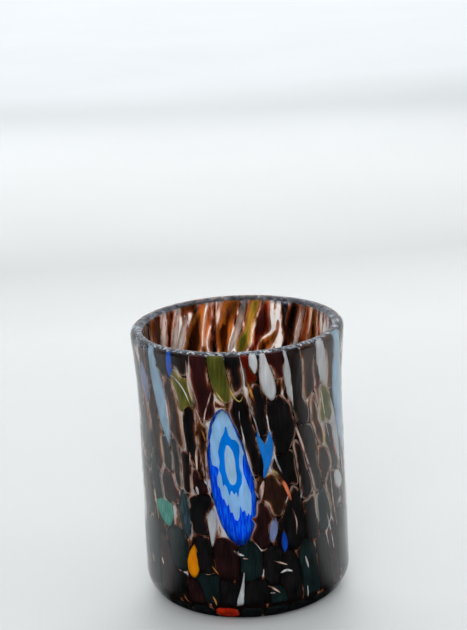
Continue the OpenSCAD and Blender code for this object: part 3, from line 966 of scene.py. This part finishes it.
def roll_up(obj, flats, lift, seed):
    """Rolls a finished sheet of lenses into the chip layer and notes each chip's own tone."""
    co = points_of(obj)
    which = np.round(co[:, 0] / SPREAD).astype(int)
    plane = np.stack([co[:, 0] - which * SPREAD, co[:, 1]], -1)
    flat = np.stack([plane[:, 0], plane[:, 1], which * 7.3], -1)
    tone = np.zeros(len(co))
    for i, (region, place, _) in enumerate(flats):
        mine = which == i
        depth = CHIP_T / 2 - co[mine, 2] * (CHIP_T / 2 + lift)
        tone[mine] = 0.5 + 0.5 * noise.noise(Vector((i * 1.37 + 0.5, seed * 0.61, 2.2)))
        # Painted shade: red wall chips near the front are darkened
        if obj.name.startswith("red_chips") and region == WALL and abs(place[0]) < FRONT_TURN:
            tone[mine] = RED_FRONT_SHADE
        co[mine] = roll_back(region, place, plane[mine], depth)
    obj.data.vertices.foreach_set("co", co.ravel())
    obj.data.update()
    float_attribute(obj, "tone", tone)
    vector_attribute(obj, "flat", flat)
    # Painted light through the chips: more high up and most at the back
    up = np.clip((co[:, 2] - 36 * MM) / (24 * MM), 0, 1)
    back = np.clip(co[:, 1] / (10 * MM), 0, 1)
    float_attribute(obj, "thin", up * (0.2 + 0.8 * back))
    float_attribute(obj, "behind", back)
    # Share of the painted reflection over the chips at the sides
    side = np.clip((np.degrees(np.abs(np.arctan2(co[:, 0], -co[:, 1]))) - 40) / 35, 0, 1)
    float_attribute(obj, "side", (0.1 + 0.9 * side) * (1 - back))
    # Painted shade low down and, away from the back, just under the mouth
    low = np.clip((24 * MM - co[:, 2]) / (8 * MM), 0, 1)
    top = np.clip((co[:, 2] - 60.5 * MM) / (1.5 * MM), 0, 1) * (1 - back)
    float_attribute(obj, "painted_shade", 0.6 * (low + top))
    edit(obj)
    bpy.ops.mesh.normals_make_consistent(inside=False)
    leave_edit()
    bpy.ops.object.shade_smooth()


# Greyish brown of the painted reflection over the chips at the sides
SIDE_REFLECTION_TONE = (0.13, 0.11, 0.09, 1)


def chip_glass(name, rim, glow, body, through, density=1.0, streak=0.3, clear=0.5, veil=0.15,
               fringe=3.0, haze=0.0, grain=0.0, ember=(0.72, 0.30, 0.12)):
    """Coloured glass that thins towards its edge: rim, glow and body are what lies ever deeper in
    from the edge, through is the body's colour with light behind it, and ember lies between rim and
    glow there. Grain is how far streaks of the glow run through the body. The fringe is painted
    light, shown where the veins' painted light runs. Chips high up and at the back get painted light
    through them in their front colour, painted shade darkens them low down and under the mouth, and a
    streaked, greyish brown painted reflection covers the chips that lie at the sides."""
    n = Nodes(name)
    flat = n.attribute("flat", "Vector")
    streaks = n.noise(n.stretched(flat, (1.0, 0.12, 1.0)), 2.6, 3.0)
    smoke = n.noise(n.stretched(flat, (1.0, 0.07, 1.0)), 3.4, 3.0)
    frayed = n.noise(n.stretched(flat, (1.0, 0.3, 1.0)), 2.4, 2.0)
    cloud = n.noise(n.stretched(flat, (0.6, 0.2, 1.0)), 1.0, 1.0)
    # Painted light through the chips high up and at the back widens their lit edges
    drawn = n.math("MULTIPLY_ADD", n.attribute("thin"), -0.45 * density, density)
    # The fringe follows the veins' painted light
    runs = n.math("MULTIPLY_ADD", vein_runs(n), -fringe, 0.47 * fringe)
    hidden = n.math("MAXIMUM", n.math("MULTIPLY_ADD", frayed, 0.8, n.math("ADD", runs, -0.4)), -0.22)
    # Painted shade low down and under the mouth
    wander = n.math("ADD", hidden, n.attribute("painted_shade"))
    deep = n.math("MULTIPLY", n.math("ADD", n.attribute("edge"), wander), drawn, clamp=True)
    lit = n.ramp(deep, [(0.05, rim), (0.14, glow), (0.32, body), (1.0, body)])
    behind = n.ramp(deep, [(0.0, rim), (0.15, ember), (0.32, glow), (0.62, through)])
    tone = n.math("MULTIPLY_ADD", n.attribute("tone"), 0.5, 0.75)
    shade = n.math("MULTIPLY_ADD", streaks, streak * 3, 1 - streak * 1.5)
    drift = n.math("MULTIPLY_ADD", cloud, streak * 5, 1 - streak * 2.5)
    grey = n.grey(n.math("MULTIPLY", n.math("MULTIPLY", tone, shade), drift))
    # Painted reflection at the sides, streaked
    side_reflection_mask = n.math("MULTIPLY", n.attribute("side"), n.ramp(smoke, [(0.42, (0.1,) * 3), (0.62, (1,) * 3)]))
    open_up = n.math("MULTIPLY_ADD", n.attribute("thin"), 1 - veil, veil)
    run = n.ramp(streaks, [(0.46, (0.0,) * 3), (0.60, (grain,) * 3)])
    lit = n.mix(run, lit, (*glow, 1))
    seen = n.mix(1.0, n.mix(open_up, lit, behind), grey, "MULTIPLY")
    with_side_reflection = n.mix(n.math("MULTIPLY", side_reflection_mask, haze), seen, SIDE_REFLECTION_TONE)
    front = n.add("BsdfDiffuse", Color=with_side_reflection)
    back = n.add("BsdfTranslucent", Color=seen)
    share = n.math("MULTIPLY_ADD", n.attribute("behind"), 0.85 - clear, clear)
    both = n.add("MixShader", in0=share, in1=front.outputs[0], in2=back.outputs[0])
    n.link(both.outputs[0], n.out.inputs[0])
    return n.material


# rim, glow, body, and body with light behind it
# The dark chips' pale rims and warm glows are partly their own thinning glass and partly painted light, from
# the veins and through their edges
DARK_GLASS = {
    "black_chips": ((0.90, 0.72, 0.62), (0.24, 0.06, 0.025), (0.014, 0.015, 0.017), (0.012, 0.006, 0.006)),
    "plum_chips": ((0.92, 0.70, 0.62), (0.45, 0.08, 0.035), (0.020, 0.013, 0.016), (0.14, 0.012, 0.006)),
    "brown_chips": ((0.95, 0.76, 0.62), (0.60, 0.20, 0.05), (0.025, 0.015, 0.012), (0.14, 0.030, 0.008)),
    "smoke_chips": ((0.70, 0.62, 0.56), (0.16, 0.12, 0.10), (0.032, 0.029, 0.028), (0.07, 0.03, 0.02)),
    "bottle_chips": ((0.50, 0.50, 0.46), (0.06, 0.08, 0.07), (0.015, 0.032, 0.035), (0.02, 0.05, 0.04)),
    "heel_chips": ((0.20, 0.18, 0.17), (0.03, 0.03, 0.03), (0.014, 0.019, 0.021), (0.03, 0.05, 0.05)),
    "base_chips": ((0.20, 0.19, 0.18), (0.03, 0.03, 0.03), (0.014, 0.021, 0.023), (0.03, 0.05, 0.05)),
}
BRIGHT_GLASS = {
    "white_chips": ((0.75, 0.70, 0.68), (0.84, 0.84, 0.85), (0.80, 0.83, 0.86), (0.98, 0.95, 0.92)),
    "pale_blue_chips": ((0.30, 0.42, 0.55), (0.38, 0.58, 0.76), (0.40, 0.62, 0.82), (0.60, 0.80, 0.95)),
    "azure_chip": ((0.30, 0.60, 0.95), (0.03, 0.34, 0.95), (0.01, 0.26, 0.95), (0.05, 0.50, 1.00)),
    "cobalt_chips": ((0.06, 0.18, 0.60), (0.02, 0.10, 0.75), (0.01, 0.08, 0.75), (0.05, 0.30, 0.95)),
    "lilac_chips": ((0.35, 0.42, 0.60), (0.30, 0.36, 0.60), (0.25, 0.32, 0.58), (0.50, 0.58, 0.85)),
}
WARM_GLASS = {
    "olive_chips": ((0.95, 0.90, 0.75), (0.62, 0.50, 0.13), (0.17, 0.15, 0.035), (0.20, 0.26, 0.01)),
    "amber_chips": ((0.97, 0.88, 0.78), (0.75, 0.34, 0.07), (0.16, 0.065, 0.02), (0.10, 0.03, 0.008)),
    "red_chips": ((0.97, 0.78, 0.68), (1.0, 0.14, 0.03), (1.0, 0.045, 0.010), (0.34, 0.02, 0.01)),
}
MURRINE = {
    "orange_murrina": ((0.90, 0.26, 0.01), (1.0, 0.34, 0.003), (1.0, 0.29, 0.001), (1.0, 0.50, 0.02)),
    "teal_murrina": ((0.35, 0.60, 0.48), (0.14, 0.55, 0.42), (0.012, 0.22, 0.17), (0.15, 0.60, 0.50)),
    "slate_murrina": ((0.40, 0.48, 0.50), (0.10, 0.16, 0.19), (0.013, 0.032, 0.04), (0.05, 0.10, 0.12)),
}


def make_chips(table, **looks):
    """One piece a node; the chips that keep their shape stand a little prouder and crisper."""
    for node, colours in table.items():
        material = chip_glass(node, *colours, **looks)
        keeps = node in FIRM or node in MURRINA_NODES
        shape = {"lift": 0.025 * MM, "rounding": 0.15} if keeps else {}
        piece = chip_piece(node + "_lens", CHIPS[node], **shape)
        finish_piece(piece, material, [node])


class SHOTGLASS_OT_dark_chips(bpy.types.Operator):
    """Melts the dark chips into the wall, the heel and the base"""

    bl_idname = "shotglass.dark_chips"
    bl_label = "Dark chips"

    def execute(self, context):
        make_chips(DARK_GLASS, density=0.85, streak=0.3, clear=0.5, haze=0.35, grain=0.02)
        return {"FINISHED"}


class SHOTGLASS_OT_bright_chips(bpy.types.Operator):
    """Melts the bright chips into the wall"""

    bl_idname = "shotglass.bright_chips"
    bl_label = "Bright chips"

    def execute(self, context):
        make_chips(BRIGHT_GLASS, density=1.8, streak=0.12, clear=0.3, fringe=1.0, haze=0.1)
        make_chips(WARM_GLASS, density=0.8, streak=0.3, clear=0.4, fringe=2.0, haze=0.1, grain=0.1)
        return {"FINISHED"}


class SHOTGLASS_OT_murrine(bpy.types.Operator):
    """Melts the three small murrine into the wall"""

    bl_idname = "shotglass.murrine"
    bl_label = "Small murrine"

    def execute(self, context):
        make_chips(MURRINE, density=2.0, streak=0.1, clear=0.06, fringe=0.6, grain=0.5)
        return {"FINISHED"}


# ---------------------------------------------------------------- the flower slice

FLOWER = {
    "flower_shell": ((0.01, 0.14, 0.75), (0.01, 0.20, 0.95), (0.0, 0.035, 0.80), (0.0, 0.15, 1.0)),
    "flower_petals": ((0.04, 0.34, 0.92), (0.20, 0.52, 0.93), (0.33, 0.62, 0.94), (0.50, 0.75, 0.95)),
    "flower_ring": ((0.02, 0.26, 0.80), (0.0, 0.19, 0.75), (0.0, 0.18, 0.75), (0.0, 0.35, 0.85)),
    "flower_core": ((0.16, 0.48, 0.86), (0.36, 0.64, 0.88), (0.44, 0.68, 0.86), (0.60, 0.78, 0.92)),
}
# Figures drawn on the slice, across and up as shares of its half width and half length
PETAL_EDGE = (
    (0.0, 1.0), (0.21, 0.95), (0.39, 0.83), (0.52, 0.68), (0.65, 0.50), (0.76, 0.35), (0.68, 0.20),
    (0.66, 0.04), (0.74, -0.08), (0.82, -0.20), (0.92, -0.34), (0.86, -0.52), (0.75, -0.72),
    (0.64, -0.64), (0.56, -0.72), (0.47, -0.58), (0.36, -0.64), (0.27, -0.50), (0.18, -0.70),
    (0.05, -0.78), (-0.08, -0.74), (-0.16, -0.60), (-0.25, -0.64), (-0.30, -0.46), (-0.40, -0.52),
    (-0.48, -0.38), (-0.58, -0.38), (-0.63, -0.20), (-0.74, -0.14), (-0.72, 0.0), (-0.62, 0.06),
    (-0.56, 0.13), (-0.66, 0.18), (-0.89, 0.20), (-0.91, 0.34), (-0.80, 0.58), (-0.59, 0.80),
    (-0.29, 0.945),
)
RING_EDGE = (
    (0.04, 0.86), (0.12, 0.86), (0.16, 0.70), (0.32, 0.62), (0.48, 0.62), (0.64, 0.52),
    (0.62, 0.40), (0.54, 0.29), (0.50, 0.12), (0.58, 0.02), (0.52, -0.14), (0.36, -0.22),
    (0.24, -0.38), (0.17, -0.26), (0.06, -0.33), (-0.06, -0.23), (-0.19, -0.34), (-0.28, -0.18),
    (-0.37, -0.12), (-0.47, -0.18), (-0.47, 0.02), (-0.57, 0.12), (-0.47, 0.26), (-0.50, 0.42),
    (-0.37, 0.56), (-0.22, 0.67), (-0.06, 0.74), (0.0, 0.80),
)
CORE_EDGE = (
    (0.02, 0.55), (0.16, 0.50), (0.28, 0.41), (0.33, 0.28), (0.31, 0.12), (0.31, -0.01),
    (0.23, -0.11), (0.10, -0.16), (-0.07, -0.13), (-0.17, -0.03), (-0.22, 0.10), (-0.21, 0.25),
    (-0.15, 0.41), (-0.06, 0.51),
)


class SHOTGLASS_OT_flower(bpy.types.Operator):
    """Fuses the flower slice: shell, petals, ring and core, each a little prouder than the last"""

    bl_idname = "shotglass.flower"
    bl_label = "Flower slice"

    def execute(self, context):
        region, place, outline = CHIPS["flower_shell"][0]
        figures = {"flower_shell": outline}
        for node, edge in (
            ("flower_petals", PETAL_EDGE), ("flower_ring", RING_EDGE), ("flower_core", CORE_EDGE),
        ):
            line = dense(on_slice(edge), 1)
            figures[node] = spaced(line, int(ring_steps(line).sum() / 0.35))
        for step, (node, colours) in enumerate(FLOWER.items()):
            grain = 0.0 if step else 0.8
            looks = {"density": 1.6, "streak": 0.12, "clear": 0.06, "fringe": 0.5, "grain": grain}
            material = chip_glass(node, *colours, **looks)
            centre = [on_slice(((0.08, 0.2),))[0]] if step else None
            flats = [(region, place, figures[node])]
            rounding = 0.08 if step else 0.35
            lift = step * 0.03 * MM
            piece = chip_piece(node + "_lens", flats, lift, centre, rounding)
            finish_piece(piece, material, [node])
        return {"FINISHED"}


# ---------------------------------------------------------------- threads

# Fine threads of bright glass that the pull has left over the chips, and a few painted glints low at the
# front: their way down in azimuth and height, their half width in millimetres, and their glass
WHITE, BLUSH, STRAW, ORANGE, CORAL = 0.0, 0.25, 0.5, 0.75, 1.0
THREADS = (
    (((-28.5, 62.3), (-28.5, 58.5), (-28, 55), (-25, 51), (-22, 47.5)), 0.22, BLUSH),
    (((-41, 58.5), (-37, 57.8), (-32, 55.5), (-28, 51.5)), 0.18, WHITE),
    (((-45.5, 53), (-44.5, 49.5), (-44, 46.5)), 0.25, BLUSH),
    (((-14.5, 56.5), (-17.5, 53), (-20, 50), (-21, 47)), 0.17, BLUSH),
    (((-14.5, 56.5), (-11, 54), (-8.5, 52.5), (-9, 50.5)), 0.20, STRAW),
    (((-7.5, 61), (-6, 58), (-4, 54.5), (-0.5, 53), (1.5, 54.5), (2, 56)), 0.17, STRAW),
    (((1.5, 56.5), (4.5, 52), (7, 48.5), (9.5, 44.5)), 0.16, WHITE),
    (((-1, 52.5), (-1, 49), (0.5, 45), (3, 38.5), (7, 33)), 0.13, WHITE),
    (((12.5, 52), (14, 48.5), (15, 45.5), (16.5, 44)), 0.13, WHITE),
    (((16.5, 41), (18.5, 38), (21.5, 35)), 0.22, WHITE),
    (((29.5, 49.5), (30.5, 46), (34.5, 41), (37.5, 37), (40, 34.5)), 0.25, BLUSH),
    (((27, 61), (28, 57), (29, 53), (29.5, 49.5)), 0.15, WHITE),
    (((49.5, 54), (51.5, 48.5), (54.5, 43), (58, 38)), 0.16, WHITE),
    (((41, 51.5), (45, 49.5), (45.5, 46.5)), 0.13, BLUSH),
    (((-23, 47), (-21, 44.5), (-20.5, 41.5)), 0.20, ORANGE),
    (((-25.5, 43), (-26.5, 40), (-26.5, 36.5)), 0.35, BLUSH),
    (((-30.5, 41), (-30.5, 36.5), (-30, 33)), 0.18, BLUSH),
    (((-19, 46.5), (-21, 38.5), (-20.5, 33), (-18, 29.5)), 0.14, WHITE),
    (((10.5, 34.5), (9, 32), (7.5, 29)), 0.55, BLUSH),
    (((19.5, 35), (22.5, 32.5), (26, 28.5)), 0.45, CORAL),
    (((15, 36.5), (18, 35.5), (19.5, 34)), 0.30, STRAW),
    (((51, 42), (52.5, 38)), 0.30, STRAW),
    (((44.5, 40.5), (45.5, 37)), 0.25, STRAW),
    (((33.5, 31.5), (32, 28.5)), 0.28, WHITE),
    (((-27.5, 33), (-26.5, 31)), 0.35, WHITE),
    (((4, 57.5), (6, 54.5), (8.5, 51.5)), 0.30, ORANGE),
    (((26, 27), (28.5, 23.5), (28, 20)), 0.15, BLUSH),
    (((11.5, 27), (14, 26), (16.5, 23.5)), 0.15, WHITE),
    (((-36, 22), (-33, 20.5), (-31.5, 22)), 0.14, WHITE),
    # The short white, blush and straw wisps low on the front that follow, 7 to 18 mm up, are painted glints
    # off the bowl's floor
    (((-8, 18.3), (-5, 17.4), (-2, 17)), 0.28, WHITE),
    (((-3, 16.4), (0, 16.2)), 0.18, BLUSH),
    (((13.5, 15.2), (18, 14.4), (22, 13.6)), 0.17, BLUSH),
    (((17.5, 12), (21, 12.4), (25, 11.8)), 0.30, WHITE),
    (((33, 14.7), (34, 13), (35, 11.5)), 0.28, WHITE),
    (((10, 9.4), (13.5, 8.4), (17, 7.2)), 0.22, BLUSH),
    (((11, 7.6), (14, 7.4)), 0.16, WHITE),
    (((-68, 12.5), (-66.5, 10.5)), 0.25, STRAW),
    (((-56.5, 13.2), (-55, 11.5)), 0.25, BLUSH),
    (((-20.5, 14.3), (-16.5, 12.2)), 0.14, ORANGE),
    (((-39.5, 6.5), (-38, 5), (-35, 4)), 0.20, ORANGE),
    (((-21, 7), (-19.5, 5.8), (-19, 4.7)), 0.18, ORANGE),
    (((33.7, 7.5), (34, 4.5)), 0.14, WHITE),
)
# Threads that a rule lays round the sides and the back: how many, first and last azimuth
RULED_THREADS = (66, 48, 302)
THREAD_RINGS = 26


def ruled_threads():
    """Threads round the sides and the back, scattered by the noise of their own place."""
    count, first, last = RULED_THREADS
    threads = []
    for i in range(count):
        chance = [noise.noise(Vector((i * 0.93 + 0.4, k * 2.7, 5.1))) for k in range(4)]
        azimuth = first + (last - first) * (i + 0.5) / count + 5 * chance[0]
        high = 41 + 32 * chance[1] * (1 if i % 2 else -1)
        size = 9 + 9 * chance[2]
        lean = 5 + 4 * chance[3]
        middle = (azimuth + 0.5 * lean + 3 * chance[0], high - 0.5 * size)
        way = ((azimuth, min(high, 61)), middle, (azimuth + lean, max(high - size, 12)))
        threads.append((way, 0.16 + 0.1 * chance[1], (i * 3 % 5) / 4))
    return threads


def thread_points(way, half_width):
    """Rings of six points along a thread, drawn to a point at both ends."""
    line = smooth_line([(a * WALL_REF / MM * math.pi / 180, z) for a, z in way], 12)
    walk = np.concatenate([[0], np.cumsum(np.linalg.norm(np.diff(line, axis=0), axis=1))])
    at = np.linspace(0, walk[-1], THREAD_RINGS)
    line = np.stack([np.interp(at, walk, line[:, k]) for k in (0, 1)], -1)
    along = np.gradient(line, axis=0)
    along /= np.maximum(np.linalg.norm(along, axis=1), 1e-9)[:, None]
    beside = np.stack([along[:, 1], -along[:, 0]], -1)
    swell = np.sin(math.pi * np.linspace(0, 1, THREAD_RINGS)) ** 0.6
    points = []
    for k in range(6):
        turn = math.pi * k / 3
        flat = line + beside * (half_width * math.cos(turn) * swell)[:, None]
        depth = (0.02 - 0.07 * math.sin(turn) * swell) * MM
        points.append(layer_point(flat[:, 0] * MM / WALL_REF, flat[:, 1] * MM, depth))
    return np.stack(points, 1)


def thread_glass():
    """Bright glass that fades into its dark neighbours here and there."""
    n = Nodes("thread_glass")
    tint = n.ramp(n.attribute("tint"), [
        (0.0, (0.92, 0.89, 0.88)), (0.25, (0.90, 0.62, 0.52)), (0.5, (0.78, 0.62, 0.20)),
        (0.75, (0.85, 0.34, 0.08)), (1.0, (0.95, 0.26, 0.12)),
    ])
    worn = n.noise(n.stretched(n.place(), (1.0, 1.0, 0.5)), 520.0, 2.0)
    fade = n.ramp(worn, [(0.36, (0.12, 0.06, 0.05)), (0.56, (1.0, 1.0, 1.0))])
    shader = n.add("BsdfDiffuse", Color=n.mix(1.0, tint, fade, "MULTIPLY"))
    n.link(shader.outputs[0], n.out.inputs[0])
    return n.material


class SHOTGLASS_OT_threads(bpy.types.Operator):
    """Lays the fine threads of bright glass over the chips, with the painted glints low at the front"""

    bl_idname = "shotglass.threads"
    bl_label = "Threads"

    def execute(self, context):
        points, faces, tints = [], [], []
        for way, half_width, tint in (*THREADS, *ruled_threads()):
            first = len(points)
            points += list(thread_points(way, half_width).reshape(-1, 3))
            tints += [tint] * (6 * THREAD_RINGS)
            for ring in range(THREAD_RINGS - 1):
                for k in range(6):
                    a, b = first + 6 * ring + k, first + 6 * ring + (k + 1) % 6
                    faces.append((a, b, b + 6, a + 6))
        obj = new_object("bright_threads", points, (), faces)
        float_attribute(obj, "tint", tints)
        edit(obj)
        bpy.ops.mesh.remove_doubles(threshold=0.0005 * MM)
        bpy.ops.mesh.normals_make_consistent(inside=False)
        leave_edit()
        bpy.ops.object.shade_smooth()
        obj.data.materials.append(thread_glass())
        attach(obj, "root")
        return {"FINISHED"}


# ---------------------------------------------------------------- the stage

# Painted light and shade of the paper by its way behind the glass, in metres: a band of painted shadow behind
# the glass and a far end painted bright
PAPER_PAINTED_LIGHT = (
    (-1.0, 0.50), (0.0, 0.50), (0.13, 0.49), (0.20, 0.50), (0.26, 0.46), (0.31, 0.41), (0.36, 0.46),
    (0.42, 0.51), (0.55, 0.62), (0.80, 0.93), (1.4, 0.98),
)
PAPER_SPAN = 2.5


def floor_paper():
    """Pale matt paper with the faintest mottle, a soft band of painted shadow behind the glass and a far end
    painted white.
    """
    n = Nodes("floor_paper")
    place = n.place()
    mottle = n.noise(place, 9.0, 4.0)
    way = n.add("SeparateXYZ", Vector=place)
    bend = n.math("MULTIPLY_ADD", n.noise(place, 2.5, 2.0), 0.12, -0.06)
    back = n.math("ADD", n.math("MULTIPLY_ADD", way.outputs[0], -0.12, way.outputs[1]), bend)
    share = n.math("MULTIPLY_ADD", back, 1 / PAPER_SPAN, 1 / PAPER_SPAN)
    tint = (0.975, 1.0, 1.0)
    stops = [((y + 1) / PAPER_SPAN, tuple(c * level for c in tint)) for y, level in PAPER_PAINTED_LIGHT]
    shades = n.ramp(share, stops)
    colour = n.mix(1.0, shades, n.ramp(mottle, [(0.3, (0.97,) * 3), (0.7, (1.0,) * 3)]), "MULTIPLY")
    shader = n.add("BsdfPrincipled")
    n.put(shader, "Base Color", colour)
    shader.inputs["Roughness"].default_value = 0.6
    shader.inputs["Specular IOR Level"].default_value = 0.3
    n.link(shader.outputs[0], n.out.inputs[0])
    return n.material


def black_cloth():
    """Black cloth that hangs before the glass, so that its dark chips stay dark."""
    n = Nodes("black_cloth")
    weave = n.noise(n.place(), 900.0, 2.0)
    colour = n.ramp(weave, [(0.3, (0.008, 0.008, 0.008)), (0.7, (0.014, 0.014, 0.014))])
    cloth = n.add("BsdfDiffuse", Color=colour)
    gauze = n.add("BsdfTransparent")
    both = n.add("MixShader", in0=n.attribute("sheer"), in1=cloth.outputs[0], in2=gauze.outputs[0])
    n.link(both.outputs[0], n.out.inputs[0])
    return n.material


def black_flag(name, profile, half_turn, cloth):
    """A cloth turned part way round the front of the glass, seen only in its reflections."""
    points = [(0.0, -r, z) for r, z in profile]
    flag = new_object(name, points, [(0, 1)])
    edit(flag)
    half = math.radians(half_turn)
    bpy.ops.mesh.spin(steps=48, angle=2 * half, center=(0, 0, 0), axis=(0, 0, 1))
    leave_edit()
    turn = Matrix.Rotation(-half, 4, "Z")
    if points_of(flag)[:, 0].max() < -points_of(flag)[:, 0].min():
        turn = Matrix.Rotation(half, 4, "Z")
    flag.data.transform(turn)
    at = points_of(flag)
    turned = np.abs(np.arctan2(at[:, 0], -at[:, 1])) / half
    float_attribute(flag, "sheer", np.clip((turned - 0.78) / 0.22, 0, 1))
    flag.data.materials.append(cloth)
    flag.visible_camera = False
    flag.visible_shadow = False
    flag.visible_diffuse = False
    flag.visible_transmission = False


def area_light(name, place, aim, size, power, colour=(1, 1, 1)):
    light = bpy.data.lights.new(name, "AREA")
    light.shape = "RECTANGLE"
    light.size, light.size_y = size
    light.energy = power
    light.color = colour
    obj = bpy.data.objects.new(name, light)
    bpy.context.scene.collection.objects.link(obj)
    obj.location = place
    obj.rotation_euler = (Vector(aim) - Vector(place)).to_track_quat("-Z", "Y").to_euler()
    obj.visible_camera = False
    return obj


def soft_world(strength):
    world = bpy.data.worlds.new("soft_white")
    bpy.context.scene.world = world
    world.use_nodes = True
    back = world.node_tree.nodes["Background"]
    back.inputs["Color"].default_value = (0.93, 0.965, 1.0, 1)
    back.inputs["Strength"].default_value = strength


class SHOTGLASS_OT_stage(bpy.types.Operator):
    """Lays the floor, hangs the lights and sets the camera"""

    bl_idname = "shotglass.stage"
    bl_label = "Stage"

    def execute(self, context):
        s = settings()
        scene = context.scene
        soft_world(s.world_strength)
        bpy.ops.mesh.primitive_plane_add(size=8.0, location=(0, 0, 0))
        floor = context.object
        floor.name = "floor"
        floor.data.materials.append(floor_paper())
        cloth = black_cloth()
        black_flag("front_flag", [(0.5, 0.0), (0.5, 0.5)], s.flag_half_turn, cloth)
        black_flag("table_flag", [(0.0203, 0.3 * MM), (0.5, 0.3 * MM)], s.table_half_turn, cloth)
        area_light("top_light", (0.05, 0.25, 0.75), (0, 0, 0.03), (0.6, 0.6), s.top_power)
        back = area_light("back_light", (0.05, 0.75, 0.24), (0, 0, 0.05), (0.9, 0.3), s.back_power)
        back.data.spread = math.radians(70)
        back.visible_glossy = False
        far = area_light("far_light", (0, 1.35, 0.9), (0, 1.2, 0), (1.6, 0.8), s.far_power)
        far.visible_glossy = False
        area_light("front_light", (-0.1, -0.9, 0.5), (0, 0, 0.03), (0.7, 0.5), s.front_power)
        area_light("side_light", (0.7, -0.15, 0.35), (0, 0, 0.03), (0.3, 0.5), s.side_power)
        place_camera(s)
        scene.view_settings.view_transform = "Standard"
        scene.cycles.transparent_max_bounces = 24
        scene.cycles.max_bounces = 16
        scene.cycles.transmission_bounces = 14
        return {"FINISHED"}


def place_camera(s):
    """Aims the camera at a point on the axis from a distance, a tilt and a small roll."""
    target = Vector((s.aim_across, 0, s.aim_height))
    ahead = Vector((0, math.cos(s.camera_tilt), -math.sin(s.camera_tilt)))
    camera = bpy.data.cameras.new("camera")
    camera.lens = s.camera_lens
    camera.sensor_width = 36
    obj = bpy.data.objects.new("camera", camera)
    bpy.context.scene.collection.objects.link(obj)
    obj.location = target - ahead * s.camera_distance
    aimed = ahead.to_track_quat("-Z", "Y").to_matrix().to_4x4()
    obj.matrix_world = (
        Matrix.Translation(obj.location) @ aimed @ Matrix.Rotation(-s.camera_roll, 4, "Z")
    )
    bpy.context.scene.camera = obj


# ---------------------------------------------------------------- settings, panel and main

def length(name, description, default):
    return bpy.props.FloatProperty(
        name=name, description=description, default=default, unit="LENGTH", precision=5
    )


def power(name, description, default):
    return bpy.props.FloatProperty(
        name=name, description=description, default=default, unit="POWER"
    )


class ShotGlassSettings(bpy.types.PropertyGroup):
    pontil_r: length("Pontil radius", "Radius of the ground hollow under the foot", 7 * MM)
    pontil_depth: length("Pontil depth", "Depth of the ground hollow", 0.8 * MM)
    ripple: length("Ripple", "How far the hand-worked walls wander", 0.12 * MM)
    turns: bpy.props.IntProperty(name="Turns", description="Steps of the spin", default=144)
    glass_ior: bpy.props.FloatProperty(
        name="Glass IOR", description="How strongly the clear glass bends light", default=1.5
    )
    flag_half_turn: bpy.props.FloatProperty(
        name="Flag", description="How far the black cloth reaches round each side, in degrees",
        default=100,
    )
    table_half_turn: bpy.props.FloatProperty(
        name="Table flag", description="How far the cloth on the table reaches round, in degrees",
        default=75,
    )
    world_strength: bpy.props.FloatProperty(
        name="World", description="Strength of the soft white surroundings", default=0.78
    )
    top_power: power("Top light", "Power of the light overhead", 0.6)
    back_power: power("Back light", "Power of the light behind the glass", 1.9)
    far_power: power("Far light", "Power of the light over the paper's far end", 3.2)
    front_power: power("Front light", "Power of the light before the glass", 7.5)
    side_power: power("Side light", "Power of the light at the right", 0.8)
    camera_distance: length("Camera distance", "From the camera to its target", 392.7 * MM)
    aim_height: length("Aim height", "Height of the camera's target", 65.8 * MM)
    aim_across: length("Aim across", "Sideways place of the camera's target", -0.6 * MM)
    camera_tilt: bpy.props.FloatProperty(
        name="Tilt", description="How far the camera looks down", subtype="ANGLE",
        default=math.radians(16.1),
    )
    camera_roll: bpy.props.FloatProperty(
        name="Roll", description="Turn of the camera about its own axis", subtype="ANGLE",
        default=math.radians(2.86),
    )
    camera_lens: bpy.props.FloatProperty(
        name="Lens", description="Focal length in millimetres on a 36 mm sensor", default=99.1
    )


OPERATORS = (
    SHOTGLASS_OT_body,
    SHOTGLASS_OT_veins,
    SHOTGLASS_OT_dark_chips,
    SHOTGLASS_OT_bright_chips,
    SHOTGLASS_OT_murrine,
    SHOTGLASS_OT_flower,
    SHOTGLASS_OT_threads,
    SHOTGLASS_OT_stage,
)


class SHOTGLASS_PT_panel(bpy.types.Panel):
    """Lists the steps that build the glass"""

    bl_idname = "SHOTGLASS_PT_panel"
    bl_label = "Shot glass"
    bl_space_type = "VIEW_3D"
    bl_region_type = "UI"
    bl_category = "Shot glass"

    def draw(self, context):
        for operator in OPERATORS:
            self.layout.operator(operator.bl_idname)


CLASSES = (ShotGlassSettings, *OPERATORS, SHOTGLASS_PT_panel)


def register():
    for cls in CLASSES:
        bpy.utils.register_class(cls)
    bpy.types.Scene.shot_glass = bpy.props.PointerProperty(type=ShotGlassSettings)


def unregister():
    del bpy.types.Scene.shot_glass
    for cls in reversed(CLASSES):
        bpy.utils.unregister_class(cls)


def main():
    register()
    bpy.ops.shotglass.body()
    bpy.ops.shotglass.veins()
    bpy.ops.shotglass.dark_chips()
    bpy.ops.shotglass.bright_chips()
    bpy.ops.shotglass.murrine()
    bpy.ops.shotglass.flower()
    bpy.ops.shotglass.threads()
    bpy.ops.shotglass.stage()


if __name__ == "__main__":
    main()
